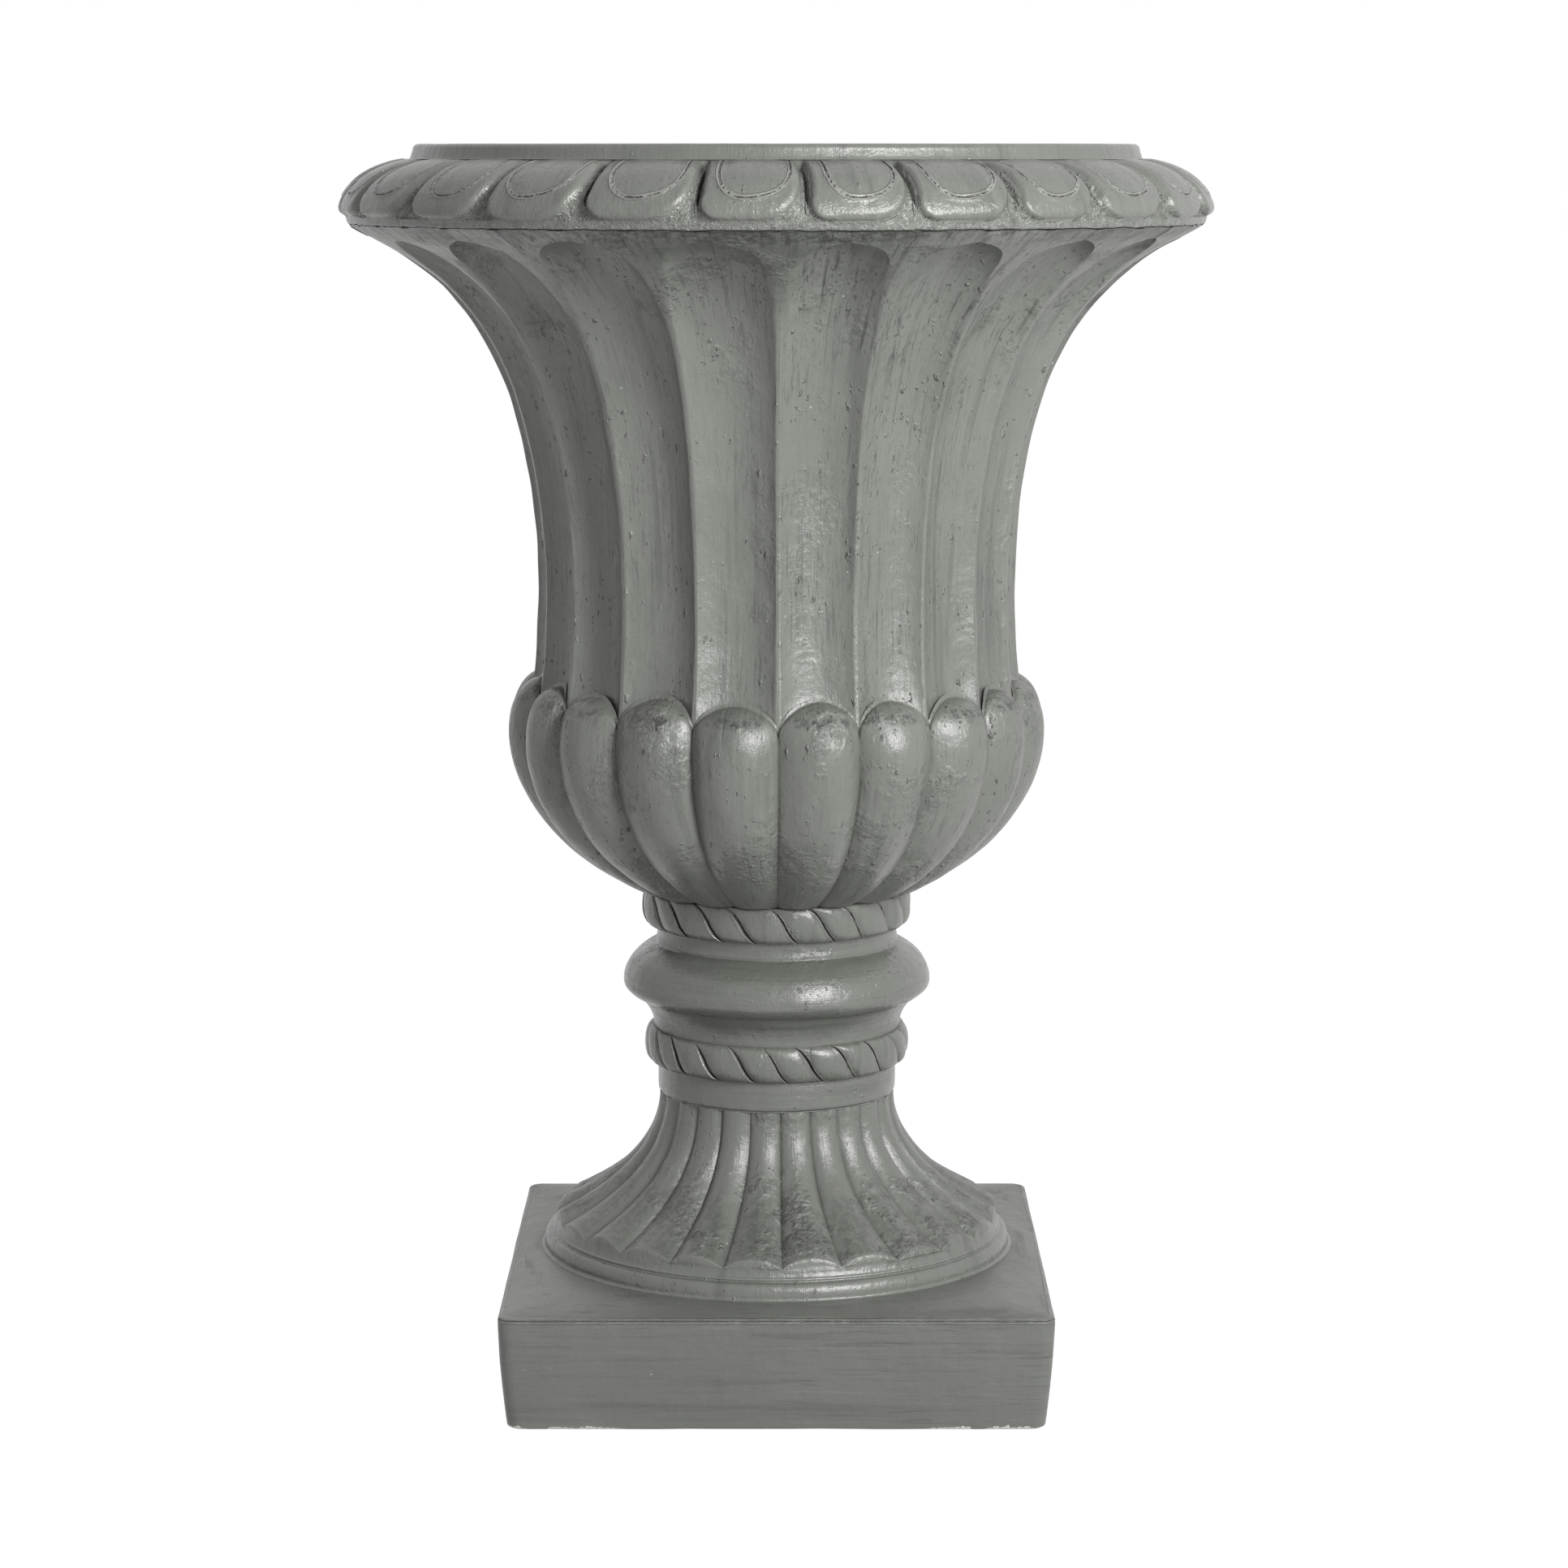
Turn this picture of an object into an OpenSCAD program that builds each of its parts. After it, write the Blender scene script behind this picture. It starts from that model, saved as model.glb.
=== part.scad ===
// Fluted urn planter on a square plinth, cast in sections and clamped by a tie rod.
// Millimetres, +Z up, origin on the floor under the middle of the plinth, front towards -Y.

/* [Plinth] */
// Width and depth of the plinth at its top edge
plinth_w = 350; // [335:1:480]
// Height of the plinth's sides
plinth_side_h = 73; // [60:1:140]
// Rise of the plinth's top from its edges to the seat of the foot
plinth_crown = 5.5; // [2:0.5:12]
// How much each side leans in towards the bottom
plinth_draft = 5; // [0:0.5:8]
// Radius of the plinth's upright corners
plinth_corner_r = 7; // [2:0.5:20]
// Thickness of the plinth's side walls at the top
plinth_wall = 24; // [15:1:32]
// Thickness of the plinth's top slab at its edges
plinth_slab = 22; // [15:1:32]

/* [Pads under the plinth] */
// Radius of each rubber pad
pad_r = 14; // [8:0.5:18]
// Thickness of each rubber pad
pad_t = 3.5; // [2.5:0.25:8]
// Depth of the pocket that holds the pad
pad_sink = 2; // [0.5:0.25:2]
// Distance from the plinth's edge to the middle of a pad
pad_inset = 32; // [26:1:50]

/* [Foot] */
// Height of the foot from its underside to its neck joint
foot_h = 102.5; // [80:0.5:140]
// Radius of the plain base ring
foot_ring_r = 154; // [150:0.5:164]
// Height of the base ring's upright face
foot_ring_h = 8; // [5:0.5:14]
// Step in from the base ring to the ends of the reeds
foot_tip_in = 6.5; // [4:0.5:14]
// Radius of the foot at its neck
foot_neck_r = 77.5; // [68:0.5:90]
// Number of reeds round the foot
foot_reeds = 24; // [16:1:32]
// Turn of the reeds, in degrees, that puts a valley right of the middle of the front
foot_turn = 1.9; // [-7.5:0.1:7.5]
// Depth of the valleys between the foot's reeds at their lower end
foot_reed_depth = 7.5; // [4:0.5:10]

/* [Stem] */
// Radius of the plain band at the bottom of the stem
band_r = 78.3; // [76:0.1:90]
// Height of the plain band
band_h = 19.5; // [10:0.5:30]
// Height of the cavetto under the knop
cavetto_h = 20.5; // [8:0.5:30]
// Radius of the stem at the bottom of the cavetto
cavetto_r = 80.8; // [77:0.1:86]
// Largest radius of the knop
knop_r = 101; // [97:0.5:115]
// Step in from the knop's widest place to its foot on the cavetto
knop_foot_in = 10; // [5:0.5:13]
// Height of the knop from the cavetto to its widest place
knop_low_h = 9.5; // [8:0.5:30]
// Height of the knop from its widest place to the fillet
knop_top_h = 23.5; // [15:0.5:40]
// Radius of the fillet over the knop
fillet_r = 79; // [77:0.1:86]
// Height of the fillet
fillet_h = 14; // [3:0.5:16]

/* [Rope mouldings] */
// Radius over the lower rope
lower_rope_r = 86.3; // [83:0.1:92]
// Height of the lower rope
lower_rope_h = 23.5; // [18:0.5:36]
// Number of strands round the lower rope
lower_strands = 22; // [12:1:30]
// Radius over the upper rope
upper_rope_r = 87.3; // [83:0.1:92]
// Height of the upper rope
upper_rope_h = 23; // [18:0.5:36]
// Number of strands round the upper rope
upper_strands = 21; // [12:1:30]
// Depth of the seats that the ropes are laid in, behind the plain band
rope_seat_in = 4.8; // [3:0.1:7]

/* [Bowl] */
// Largest radius over the gadroons
bowl_r = 176; // [168:0.5:190]
// Radius of the bowl's underside
bowl_foot_r = 90.5; // [84:0.5:110]
// Height of the widest place above the bowl's underside
bowl_belly_h = 107; // [85:1:120]
// Height of the bell's seat above the bowl's underside
bowl_seat_h = 125; // [122:1:160]
// Rise of the gadroon heads above the bell's seat
head_rise = 15; // [8:0.5:22]
// Depth of the valleys between the gadroons
lobe_depth = 12; // [5:0.5:13]
// Thickness of the bowl's wall behind the valleys
bowl_wall = 18; // [12:1:26]
// Thickness of the bowl's floor
bowl_floor_t = 20; // [14:1:30]

/* [Bell] */
// Height of the bell from its seat to the rim's underside
bell_h = 305; // [240:1:380]
// Radius of the bell over its arrises at the seat
bell_base_r = 160; // [157:0.5:166]
// Radius of the bell over its arrises at the waist
bell_waist_r = 155.1; // [150:0.1:160]
// Height of the waist above the seat
bell_waist_h = 70; // [40:1:100]
// Number of flutes, with one gadroon under each
flutes = 20; // [14:1:26]
// Depth of a flute at the waist
flute_depth = 7.5; // [3:0.5:8]
// Depth of a flute at its rounded head
flute_head_depth = 12; // [5:0.5:12]
// Thickness of the bell from its arrises to its inside
bell_wall = 17; // [14:0.5:22]

/* [Rim] */
// Radius over the tongues at their widest
rim_r = 281; // [278:0.5:300]
// Overhang of the tongues beyond the bell's lip
rim_overhang = 5.5; // [3:0.5:8]
// Width of the rim from the tongues to the mouth, which takes a drop-in liner pot
rim_w = 66; // [60:0.5:72]
// Height of the plain lip under the tongues
rim_lip_h = 7; // [4:0.5:12]
// Height of the tongued roll above the plain lip
rim_roll_h = 33; // [24:0.5:44]
// Number of tongues round the rim
tongues = 26; // [18:1:32]
// Height of the tongues above the ground between them
tongue_relief = 4.5; // [2:0.5:6]
// Thickness of the collar round the mouth
collar_wall = 18.5; // [13:0.5:24]
// Height of the collar above the rim
collar_h = 10; // [6:0.5:20]

/* [Joints between the castings] */
// Thickness of the bedding compound in each joint
bed_t = 1.2; // [0.8:0.1:3]
// Distance of the bedding compound from the outside
bed_inset = 4; // [2:0.5:6]
// Height of the rings that locate one casting in the next
spigot_h = 8; // [5:0.5:12]
// Clearance round and over each locating ring
spigot_clear = 0.5; // [0.3:0.1:1]
// Radius of the locating rings at both ends of the stem
stem_spigot_r = 55; // [48:0.5:60]
// Radius of the locating boss on the plinth
foot_boss_r = 100; // [90:1:110]
// Height of the locating boss on the plinth
foot_boss_h = 5; // [3:0.5:8]
// Distance of the locating ring under the bell from the bell's outside
bell_spigot_in = 19; // [16:0.5:24]
// Thickness of the locating ring under the bell
bell_spigot_wall = 15; // [12:0.5:24]
// Thickness of the locating ring under the rim
rim_spigot_wall = 19; // [14:0.5:24]

/* [Tie rod] */
// Radius of the tie rod
rod_r = 6; // [4:0.5:7]
// Clearance round the tie rod
rod_clear = 0.5; // [0.3:0.1:1]
// Length of the rod beyond each nut
rod_tail = 8; // [3:0.5:12]
// Width of the nuts across their flats
nut_flats = 18; // [15:0.5:20]
// Height of the nuts
nut_h = 10; // [6:0.5:13]
// Radius of the flat washers
washer_r = 13.5; // [11:0.5:14]
// Thickness of the flat washers
washer_t = 2.5; // [1.5:0.5:4]
// Thickness of the rubber sealing washer
seal_t = 2; // [1:0.5:4]
// Thickness of the lock washer
lock_washer_t = 3; // [2:0.5:4]
// Length of the clamp bar under the plinth's slab
clamp_bar_l = 130; // [100:1:180]
// Width of the clamp bar
clamp_bar_w = 32; // [28:1:40]
// Thickness of the clamp bar
clamp_bar_t = 6; // [4:0.5:10]

/* [Drain] */
// Radius of the drain's passage
drain_r = 8; // [6:0.5:9]
// Wall of the plastic drain sleeve
sleeve_wall = 1.5; // [1:0.5:2.5]
// Overhang of the sleeve's flange
sleeve_flange_w = 2; // [1:0.5:4]
// Gap between the sleeve's flange and the tie rod's washers
drain_gap = 1; // [0.5:0.5:4]
// Gap between the sleeve and the wall of the passage below the bowl
passage_gap = 0.5; // [0.5:0.5:6]
// Thickness of the sleeve's flange
sleeve_flange_t = 1.5; // [1:0.5:3]
// Length of the sleeve below the bowl's floor
sleeve_drip = 4; // [0:0.5:6]
// Clearance between the plug and the sleeve
plug_clear = 0.3; // [0.2:0.1:0.5]
// Length of the plug inside the sleeve
plug_l = 14; // [8:1:18]
// Overhang of the plug's head
plug_head_w = 2.5; // [1:0.5:3]
// Height of the plug's head
plug_head_h = 4; // [3:0.5:8]
// Radius of the plug's lifting ring
plug_ring_r = 6; // [4:0.5:8]
// Thickness of the plug's lifting ring
plug_ring_t = 2.6; // [2:0.2:4]

/* [Hidden] */
$fn = 96;
// Overlap of a cut beyond the solid that it cuts
over = 1;

// Levels from the floor up
plinth_z0 = pad_t - pad_sink;
plinth_edge_z = plinth_z0 + plinth_side_h;
seat_z = plinth_edge_z + plinth_crown;
slab_z = plinth_edge_z - plinth_slab;
foot_z0 = seat_z + bed_t;
foot_z1 = foot_z0 + foot_h;
stem_z0 = foot_z1 + bed_t;
band_z1 = stem_z0 + band_h;
cavetto_z0 = band_z1 + lower_rope_h;
knop_z0 = cavetto_z0 + cavetto_h;
knop_z = knop_z0 + knop_low_h;
fillet_z0 = knop_z + knop_top_h;
fillet_z1 = fillet_z0 + fillet_h;
stem_z1 = fillet_z1 + upper_rope_h;
bowl_z0 = stem_z1 + bed_t;
belly_z = bowl_z0 + bowl_belly_h;
bowl_seat_z = bowl_z0 + bowl_seat_h;
floor_z = bowl_z0 + bowl_floor_t;
bell_z0 = bowl_seat_z + bed_t;
waist_z = bell_z0 + bell_waist_h;
bell_z1 = bell_z0 + bell_h;
rim_z0 = bell_z1 + bed_t;
roll_z0 = rim_z0 + rim_lip_h;
collar_z0 = roll_z0 + rim_roll_h;
collar_z1 = collar_z0 + collar_h;

// The passage through stem, foot and plinth has room for the drain beside the tie rod's washers
sleeve_r = drain_r + sleeve_wall;
sleeve_flange_r = sleeve_r + sleeve_flange_w;
drain_offset = washer_r + drain_gap + sleeve_flange_r;
core_r = drain_offset + sleeve_r + passage_gap;
plug_head_r = drain_r + plug_head_w;

// Radii that follow from their neighbours
foot_tip_r = foot_ring_r - foot_tip_in;
knop_foot_r = knop_r - knop_foot_in;
rope_seat_r = band_r - rope_seat_in;
bell_spigot_r = bell_base_r - bell_spigot_in;
bell_base_bore_r = bell_spigot_r - bell_spigot_wall;

// The bell's lip, the mouth, the collar and the rim's locating ring follow the rim
bell_lip_r = rim_r - rim_overhang;
mouth_r = rim_r - rim_w;
collar_r = mouth_r + collar_wall;
rim_spigot_r = mouth_r + rim_spigot_wall;

// Tie rod levels: the top nut clamps the bowl's floor and the bottom nut the clamp bar
seal_z = floor_z;
top_washer_z = seal_z + seal_t;
top_nut_z = top_washer_z + washer_t;
rod_z1 = top_nut_z + nut_h + rod_tail;
clamp_bar_z = slab_z - clamp_bar_t;
bottom_washer_z = clamp_bar_z - washer_t;
lock_washer_z = bottom_washer_z - lock_washer_t;
bottom_nut_z = lock_washer_z - nut_h;
rod_z0 = bottom_nut_z - rod_tail;
sleeve_top_z = floor_z + sleeve_flange_t;

// Colours
stone = "#7d827a";
bedding = "#55584f";
steel = "#9aa0a3";
rubber = "#2b2c2b";

// Columns across one flute, gadroon, reed, tongue or strand, as shares of its pitch
flute_columns = [0, 0.015, 0.14, 0.375, 0.625, 0.86, 0.985];
reed_columns = [0, 0.14, 0.5, 0.86];
tongue_columns = [0, 0.08, 0.19, 0.28, 0.5, 0.72, 0.81, 0.92];
strand_columns = [0, 0.2, 0.5, 0.8];

function mix(a, b, t) = a + (b - a) * t;
function clamp01(t) = min(1, max(0, t));
function bezier(a, b, c, d, t) =
  pow(1 - t, 3) * a + 3 * pow(1 - t, 2) * t * b + 3 * (1 - t) * t * t * c + pow(t, 3) * d;
// Angles start at the front and run towards +X; p holds a radius and a height
function around(angle, p) = [p[0] * sin(angle), -p[0] * cos(angle), p[1]];
// A rounded hollow or lobe: 0 at both edges of a pitch and 1 in the middle
arch_k = 0.93;
function arch(v) = abs(v) >= 1 ? 0
  : (sqrt(1 - pow(arch_k * v, 2)) - sqrt(1 - arch_k * arch_k)) / (1 - sqrt(1 - arch_k * arch_k));
// Every column of a ring as [angle, share of the pitch]
function ring_columns(count, shares, turn = 0) =
  [for (i = [0 : count - 1], s = shares) [(i + s) * 360 / count + turn, s]];
function flat_ring(columns, r, z) = [for (c = columns) around(c[0], [r, z])];

// Solid between a flat first ring and a flat last ring
module ring_solid(rings) {
  n = len(rings[0]);
  m = len(rings);
  sides = [for (i = [0 : m - 2], j = [0 : n - 1]) each [
    [i * n + j, (i + 1) * n + j, (i + 1) * n + (j + 1) % n],
    [i * n + j, (i + 1) * n + (j + 1) % n, i * n + (j + 1) % n]
  ]];
  caps = [[for (j = [0 : n - 1]) j], [for (j = [n - 1 : -1 : 0]) (m - 1) * n + j]];
  polyhedron([for (r = rings) each r], concat(caps, sides), convexity = 8);
}

// Ring-shaped solid whose sections run round the axis
module hoop_solid(sections) {
  n = len(sections[0]);
  m = len(sections);
  faces = [for (i = [0 : m - 1], j = [0 : n - 1]) each [
    [i * n + j, i * n + (j + 1) % n, ((i + 1) % m) * n + (j + 1) % n],
    [i * n + j, ((i + 1) % m) * n + (j + 1) % n, ((i + 1) % m) * n + j]
  ]];
  polyhedron([for (s = sections) each s], faces, convexity = 8);
}

// Plain ring: a true cylinder with a true bore
module ring(r_out, r_in, z0, h) {
  translate([0, 0, z0])
    difference() {
      cylinder(r = r_out, h = h);
      translate([0, 0, -over])
        cylinder(r = r_in, h = h + 2 * over);
    }
}

module bore(r, z0, z1) {
  translate([0, 0, z0])
    cylinder(r = r, h = z1 - z0);
}

// Plinth: a drafted block with a crowned top, hollow underneath, with a block over each pad
plinth_edge_round = 3;
seat_margin = 2;
slice_t = 0.5;
pad_c = plinth_w / 2 - pad_inset;
cavity_half = plinth_w / 2 - plinth_wall;
corner_block = 10;
cavity_chamfer = 2 * pad_c - sqrt(2) * (pad_r + corner_block);

module corner_posts(half, z) {
  c = half - plinth_corner_r;
  for (x = [-c, c], y = [-c, c])
    translate([x, y, z])
      cylinder(r = plinth_corner_r, h = slice_t, $fn = 32);
}

module plinth_block() {
  hull() {
    corner_posts(plinth_w / 2 - plinth_draft - plinth_edge_round, plinth_z0);
    corner_posts(plinth_w / 2 - plinth_draft, plinth_z0 + plinth_edge_round);
    corner_posts(plinth_w / 2, plinth_edge_z - plinth_edge_round);
    corner_posts(plinth_w / 2 - plinth_edge_round, plinth_edge_z - slice_t);
    translate([0, 0, seat_z - slice_t])
      cylinder(r = foot_ring_r + seat_margin, h = slice_t, $fn = 96);
  }
}

module plinth_cavity() {
  translate([0, 0, plinth_z0 - over])
    linear_extrude(slab_z - plinth_z0 + over)
      intersection() {
        square(2 * cavity_half, center = true);
        rotate(45)
          square(sqrt(2) * cavity_chamfer, center = true);
      }
}

module plinth() {
  color(stone)
    difference() {
      union() {
        plinth_block();
        bore(foot_boss_r, seat_z - over, seat_z + foot_boss_h);
      }
      plinth_cavity();
      bore(core_r, slab_z - over, seat_z + foot_boss_h + over);
      for (x = [-pad_c, pad_c], y = [-pad_c, pad_c])
        translate([x, y, plinth_z0 - over])
          cylinder(r = pad_r, h = pad_sink + over);
    }
}

module pad(side, end) {
  color(rubber)
    translate([side * pad_c, end * pad_c, 0])
      cylinder(r = pad_r, h = pad_t);
}

// Foot: rounded reeds sweep down from the neck and end in small arches over a plain cyma and a base ring
ring_z1 = foot_z0 + foot_ring_h;
groove_in = 5;
groove_h = 3;
bead_h = 6;
cyma_z1 = ring_z1 + bead_h;
cyma_slope = 0.5;
cyma_step = 1;
tip_z = foot_z0 + 0.19 * foot_h;
tip_in = 3.5;
tip_rise = 2.3;
sweep_top = [foot_neck_r, foot_z1];
sweep_top_handle = [foot_neck_r, mix(foot_z1, foot_z0, 0.34)];
sweep_tip_handle = [mix(foot_neck_r, foot_tip_r, 0.33), mix(tip_z, foot_z1, 0.3)];
sweep_tip = [foot_tip_r - tip_in, tip_z + tip_rise];
foot_steps = [0, 0.14, 0.28, 0.42, 0.56, 0.7, 0.85, 1];

function foot_sweep(t) = bezier(sweep_top, sweep_top_handle, sweep_tip_handle, sweep_tip, t);
function cyma_h(r) = cyma_z1 + max(0, foot_tip_r - r) * cyma_slope;
function foot_point(t, s) =
  let (
    p = foot_sweep(t),
    d = foot_sweep(t + 0.01) - foot_sweep(t - 0.01),
    n = [-d[1], d[0]] / norm(d),
    depth = mix(0.4, 1, t) * foot_reed_depth * (1 - arch(2 * s - 1)),
    q = t == 0 ? [p[0] - depth, p[1]] : p - depth * n
  ) [q[0], max(q[1], cyma_h(q[0]))];

module foot() {
  columns = ring_columns(foot_reeds, reed_columns);
  color(stone)
    difference() {
      rotate([0, 0, foot_turn]) ring_solid(concat(
        [
          flat_ring(columns, foot_ring_r, foot_z0),
          flat_ring(columns, foot_ring_r, ring_z1),
          flat_ring(columns, foot_ring_r - groove_in, ring_z1 + groove_h),
          flat_ring(columns, foot_ring_r - groove_in, mix(ring_z1 + groove_h, cyma_z1, 0.6)),
          flat_ring(columns, foot_tip_r, cyma_z1)
        ],
        [[for (c = columns) around(c[0], [
          foot_tip_r - cyma_step / 2,
          mix(cyma_z1 + cyma_step, tip_z, arch(2 * c[1] - 1))
        ])]],
        [for (i = [len(foot_steps) - 1 : -1 : 0])
          [for (c = columns) around(c[0], foot_point(foot_steps[i], c[1]))]],
        [
          flat_ring(columns, stem_spigot_r, foot_z1),
          flat_ring(columns, stem_spigot_r, foot_z1 + spigot_h)
        ]
      ));
      bore(core_r, foot_z0 - over, foot_z1 + spigot_h + over);
      bore(foot_boss_r + spigot_clear, foot_z0 - over, seat_z + foot_boss_h + spigot_clear);
    }
}

// Stem: band, rope seat, cavetto, knop, fillet and rope seat, turned about one axis
knop_core_in = 12;
knop_core_r = fillet_r - knop_core_in;
stem_arc_steps = 8;
cavetto_power = 1.7;

function knop_arc(end_r, h, t) =
  let (
    full = knop_r - knop_core_r,
    end_angle = acos((end_r - knop_core_r) / full),
    angle = end_angle * t
  ) [knop_core_r + full * cos(angle), knop_z + h * sin(angle) / sin(end_angle)];

module stem() {
  steps = [for (i = [0 : stem_arc_steps]) i / stem_arc_steps];
  outline = concat(
    [[core_r, stem_z0], [band_r, stem_z0], [band_r, band_z1]],
    [[rope_seat_r, band_z1], [rope_seat_r, cavetto_z0]],
    [for (t = steps) [mix(cavetto_r, knop_foot_r, pow(t, cavetto_power)), mix(cavetto_z0, knop_z0, t)]],
    [for (i = [stem_arc_steps - 1 : -1 : 0]) knop_arc(knop_foot_r, -knop_low_h, steps[i])],
    [for (i = [1 : stem_arc_steps]) knop_arc(fillet_r, knop_top_h, steps[i])],
    [[fillet_r, fillet_z1], [rope_seat_r, fillet_z1], [rope_seat_r, stem_z1], [core_r, stem_z1]]
  );
  color(stone)
    difference() {
      rotate_extrude()
        polygon(outline);
      bore(stem_spigot_r + spigot_clear, stem_z0 - over, foot_z1 + spigot_h + spigot_clear);
      bore(stem_spigot_r + spigot_clear, bowl_z0 - spigot_h - spigot_clear, stem_z1 + over);
    }
}

// Rope: strands lean over a half-round bead, and the columns follow the strands
rope_clear = 0.5;
rope_edge = 2.5;
rope_bead_r = rope_seat_r + rope_edge;
rope_lean = 0.9;
rope_groove = 0.4;
rope_turns = [-90, -50, -18, 18, 50, 90];

function rope_section(phase, share, strands, r, z, h) =
  let (swell = 1 - rope_groove * (1 - sqrt(sin(180 * share))))
  concat(
    [for (f = rope_turns) around(
      (phase - rope_lean * f / 180) * 360 / strands,
      [rope_bead_r + (r - rope_bead_r) * cos(f) * swell, z + h / 2 * sin(f)]
    )],
    [for (f = [90, 0, -90]) around(
      (phase - rope_lean * f / 180) * 360 / strands,
      [rope_seat_r + rope_clear, z + h / 2 * sin(f)]
    )]
  );

module rope(strands, r, z0, h) {
  hoop_solid([for (i = [0 : strands - 1], s = strand_columns)
    rope_section(i + s, s, strands, r, z0 + h / 2, h)]);
}

module lower_rope() {
  color(stone)
    rope(lower_strands, lower_rope_r, band_z1, lower_rope_h);
}

module upper_rope() {
  color(stone)
    rope(upper_strands, upper_rope_r, fillet_z1, upper_rope_h);
}

// Bell: an arris line with flutes cut below it; k runs from -1 at the seat past 0 at the waist to 1
lip_handle = [0.221, 0.078];
waist_handle = 0.838;
head_start = 0.7;
head_end = 0.88;
bell_steps = [-1, -0.72, -0.3, 0.08, 0.22, 0.36, 0.48, 0.59, 0.7, 0.77, 0.82, 0.855, 0.88, 1];

function arris_line(k) = k <= 0
  ? [mix(bell_waist_r, bell_base_r, k * k), mix(waist_z, bell_z0, -k)]
  : bezier(
      [bell_waist_r, waist_z],
      [bell_waist_r, mix(waist_z, bell_z1, waist_handle)],
      [mix(bell_lip_r, bell_waist_r, lip_handle[0]), mix(bell_z1, waist_z, lip_handle[1])],
      [bell_lip_r, bell_z1],
      k
    );
// Direction square to the arris line, pointing out
function arris_normal(k) =
  let (d = arris_line(min(1, k + 0.01)) - arris_line(k - 0.01))
  k <= 0 ? [1, 0] : [d[1], -d[0]] / norm(d);
// Width and depth left in a flute where its rounded head closes it
function head_share(k) = k <= head_start ? 1
  : sqrt(max(0.01, 1 - pow((k - head_start) / (head_end - head_start), 2)));
function bell_point(k, share) =
  let (
    depth = k >= head_end ? 0 : mix(flute_depth, flute_head_depth, clamp01(k)) * head_share(k),
    v = abs(2 * share - 1)
  ) arris_line(k) - depth * (v > 0.96 ? 0 : arch(v)) * arris_normal(k);
// The arrises run straight up, and the other columns close in on the middle of each head
function bell_ring(columns, k) = [for (c = columns)
  let (drift = c[1] == 0 ? 0 : (c[1] - 0.5) * (1 - head_share(k)) * 360 / flutes)
  around(c[0] - drift, bell_point(k, c[1]))];

// Inside of the bell: one wall thickness behind the arrises, opening into the mouth
mouth_step = 2;
mouth_taper_h = 6;
bell_bore_r = mouth_r + mouth_step;
bell_inner_steps = [-0.3, 0.1, 0.25, 0.4, 0.5, 0.6];
function bell_inner(k) =
  let (p = arris_line(k) - bell_wall * arris_normal(k))
  [min(p[0], mouth_r), p[1]];
// Clearance round the foot of the bell, inside the gadroon heads
head_clear = 0.4;

module bell() {
  columns = ring_columns(flutes, flute_columns);
  inner = [for (k = bell_inner_steps) bell_inner(k)];
  color(stone)
    difference() {
      ring_solid(concat(
        [
          flat_ring(columns, bell_spigot_r, bell_z0 - spigot_h),
          flat_ring(columns, bell_spigot_r, bell_z0)
        ],
        [for (k = bell_steps) bell_ring(columns, k)]
      ));
      rotate_extrude()
        polygon(concat(
          [[0, bell_z0 - spigot_h - over], [bell_base_bore_r, bell_z0 - spigot_h - over]],
          [[bell_base_bore_r, bell_z0 + spigot_h]],
          inner,
          [[bell_bore_r, inner[len(inner) - 1][1] + mouth_taper_h], [bell_bore_r, bell_z1 + over]],
          [[0, bell_z1 + over]]
        ));
      bore(rim_spigot_r + spigot_clear, rim_z0 - spigot_h - spigot_clear, bell_z1 + over);
    }
}

// Bowl: gadroons on an elliptical body, with round heads that stand up round the bell
bowl_axis_h = bowl_belly_h / sqrt(1 - pow(bowl_foot_r / bowl_r, 2));
head_axis_h = bowl_seat_z + head_rise - belly_z;
bowl_steps = [0, 0.1, 0.22, 0.36, 0.52, 0.75, 1];
lip_w = 1.2;
lip_h = 0.6;
socket_margin = 4;
shoulder_h = 6;

// Crest of a gadroon below the belly; t runs from 0 at the underside to 1 at the belly
function crest_line(t) =
  let (low = asin(bowl_belly_h / bowl_axis_h), angle = mix(low, 0, t))
  [bowl_r * cos(angle), belly_z - bowl_axis_h * sin(angle)];
function lobe_point(t, share) =
  let (
    p = crest_line(t),
    fall = lobe_depth * mix(0.4, 1, p[0] / bowl_r) * (1 - arch(2 * share - 1))
  ) [p[0] - fall, p[1]];
// Foot of the bell with clearance, where it stands inside the heads
function socket_r(share, z) =
  bell_point(-clamp01((waist_z - max(z, bell_z0)) / bell_waist_h), share)[0] + head_clear;
// Height of a head over the seat, and the radius of its outside at a height
function head_top(share) = bowl_seat_z + max(lip_h, head_rise * sqrt(max(0, 1 - pow(2 * share - 1, 2))));
function head_r(share, z) =
  let (
    up = (z - belly_z) / head_axis_h,
    crest = mix(bell_base_r, bowl_r, sqrt(max(0, 1 - up * up))),
    valley = mix(bowl_r - lobe_depth, bell_base_r + lip_w, clamp01((z - belly_z) / (bowl_seat_z - belly_z)))
  ) mix(valley, max(crest, valley), arch(2 * share - 1));
function head_ring(columns, t) = [for (c = columns)
  let (z = mix(bowl_seat_z, head_top(c[1]), t))
  around(c[0], [max(head_r(c[1], z), socket_r(c[1], z) + lip_w), z])];
function socket_ring(columns, t) = [for (c = columns)
  let (z = mix(bowl_seat_z, head_top(c[1]), t))
  around(c[0], [socket_r(c[1], z), z])];

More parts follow.
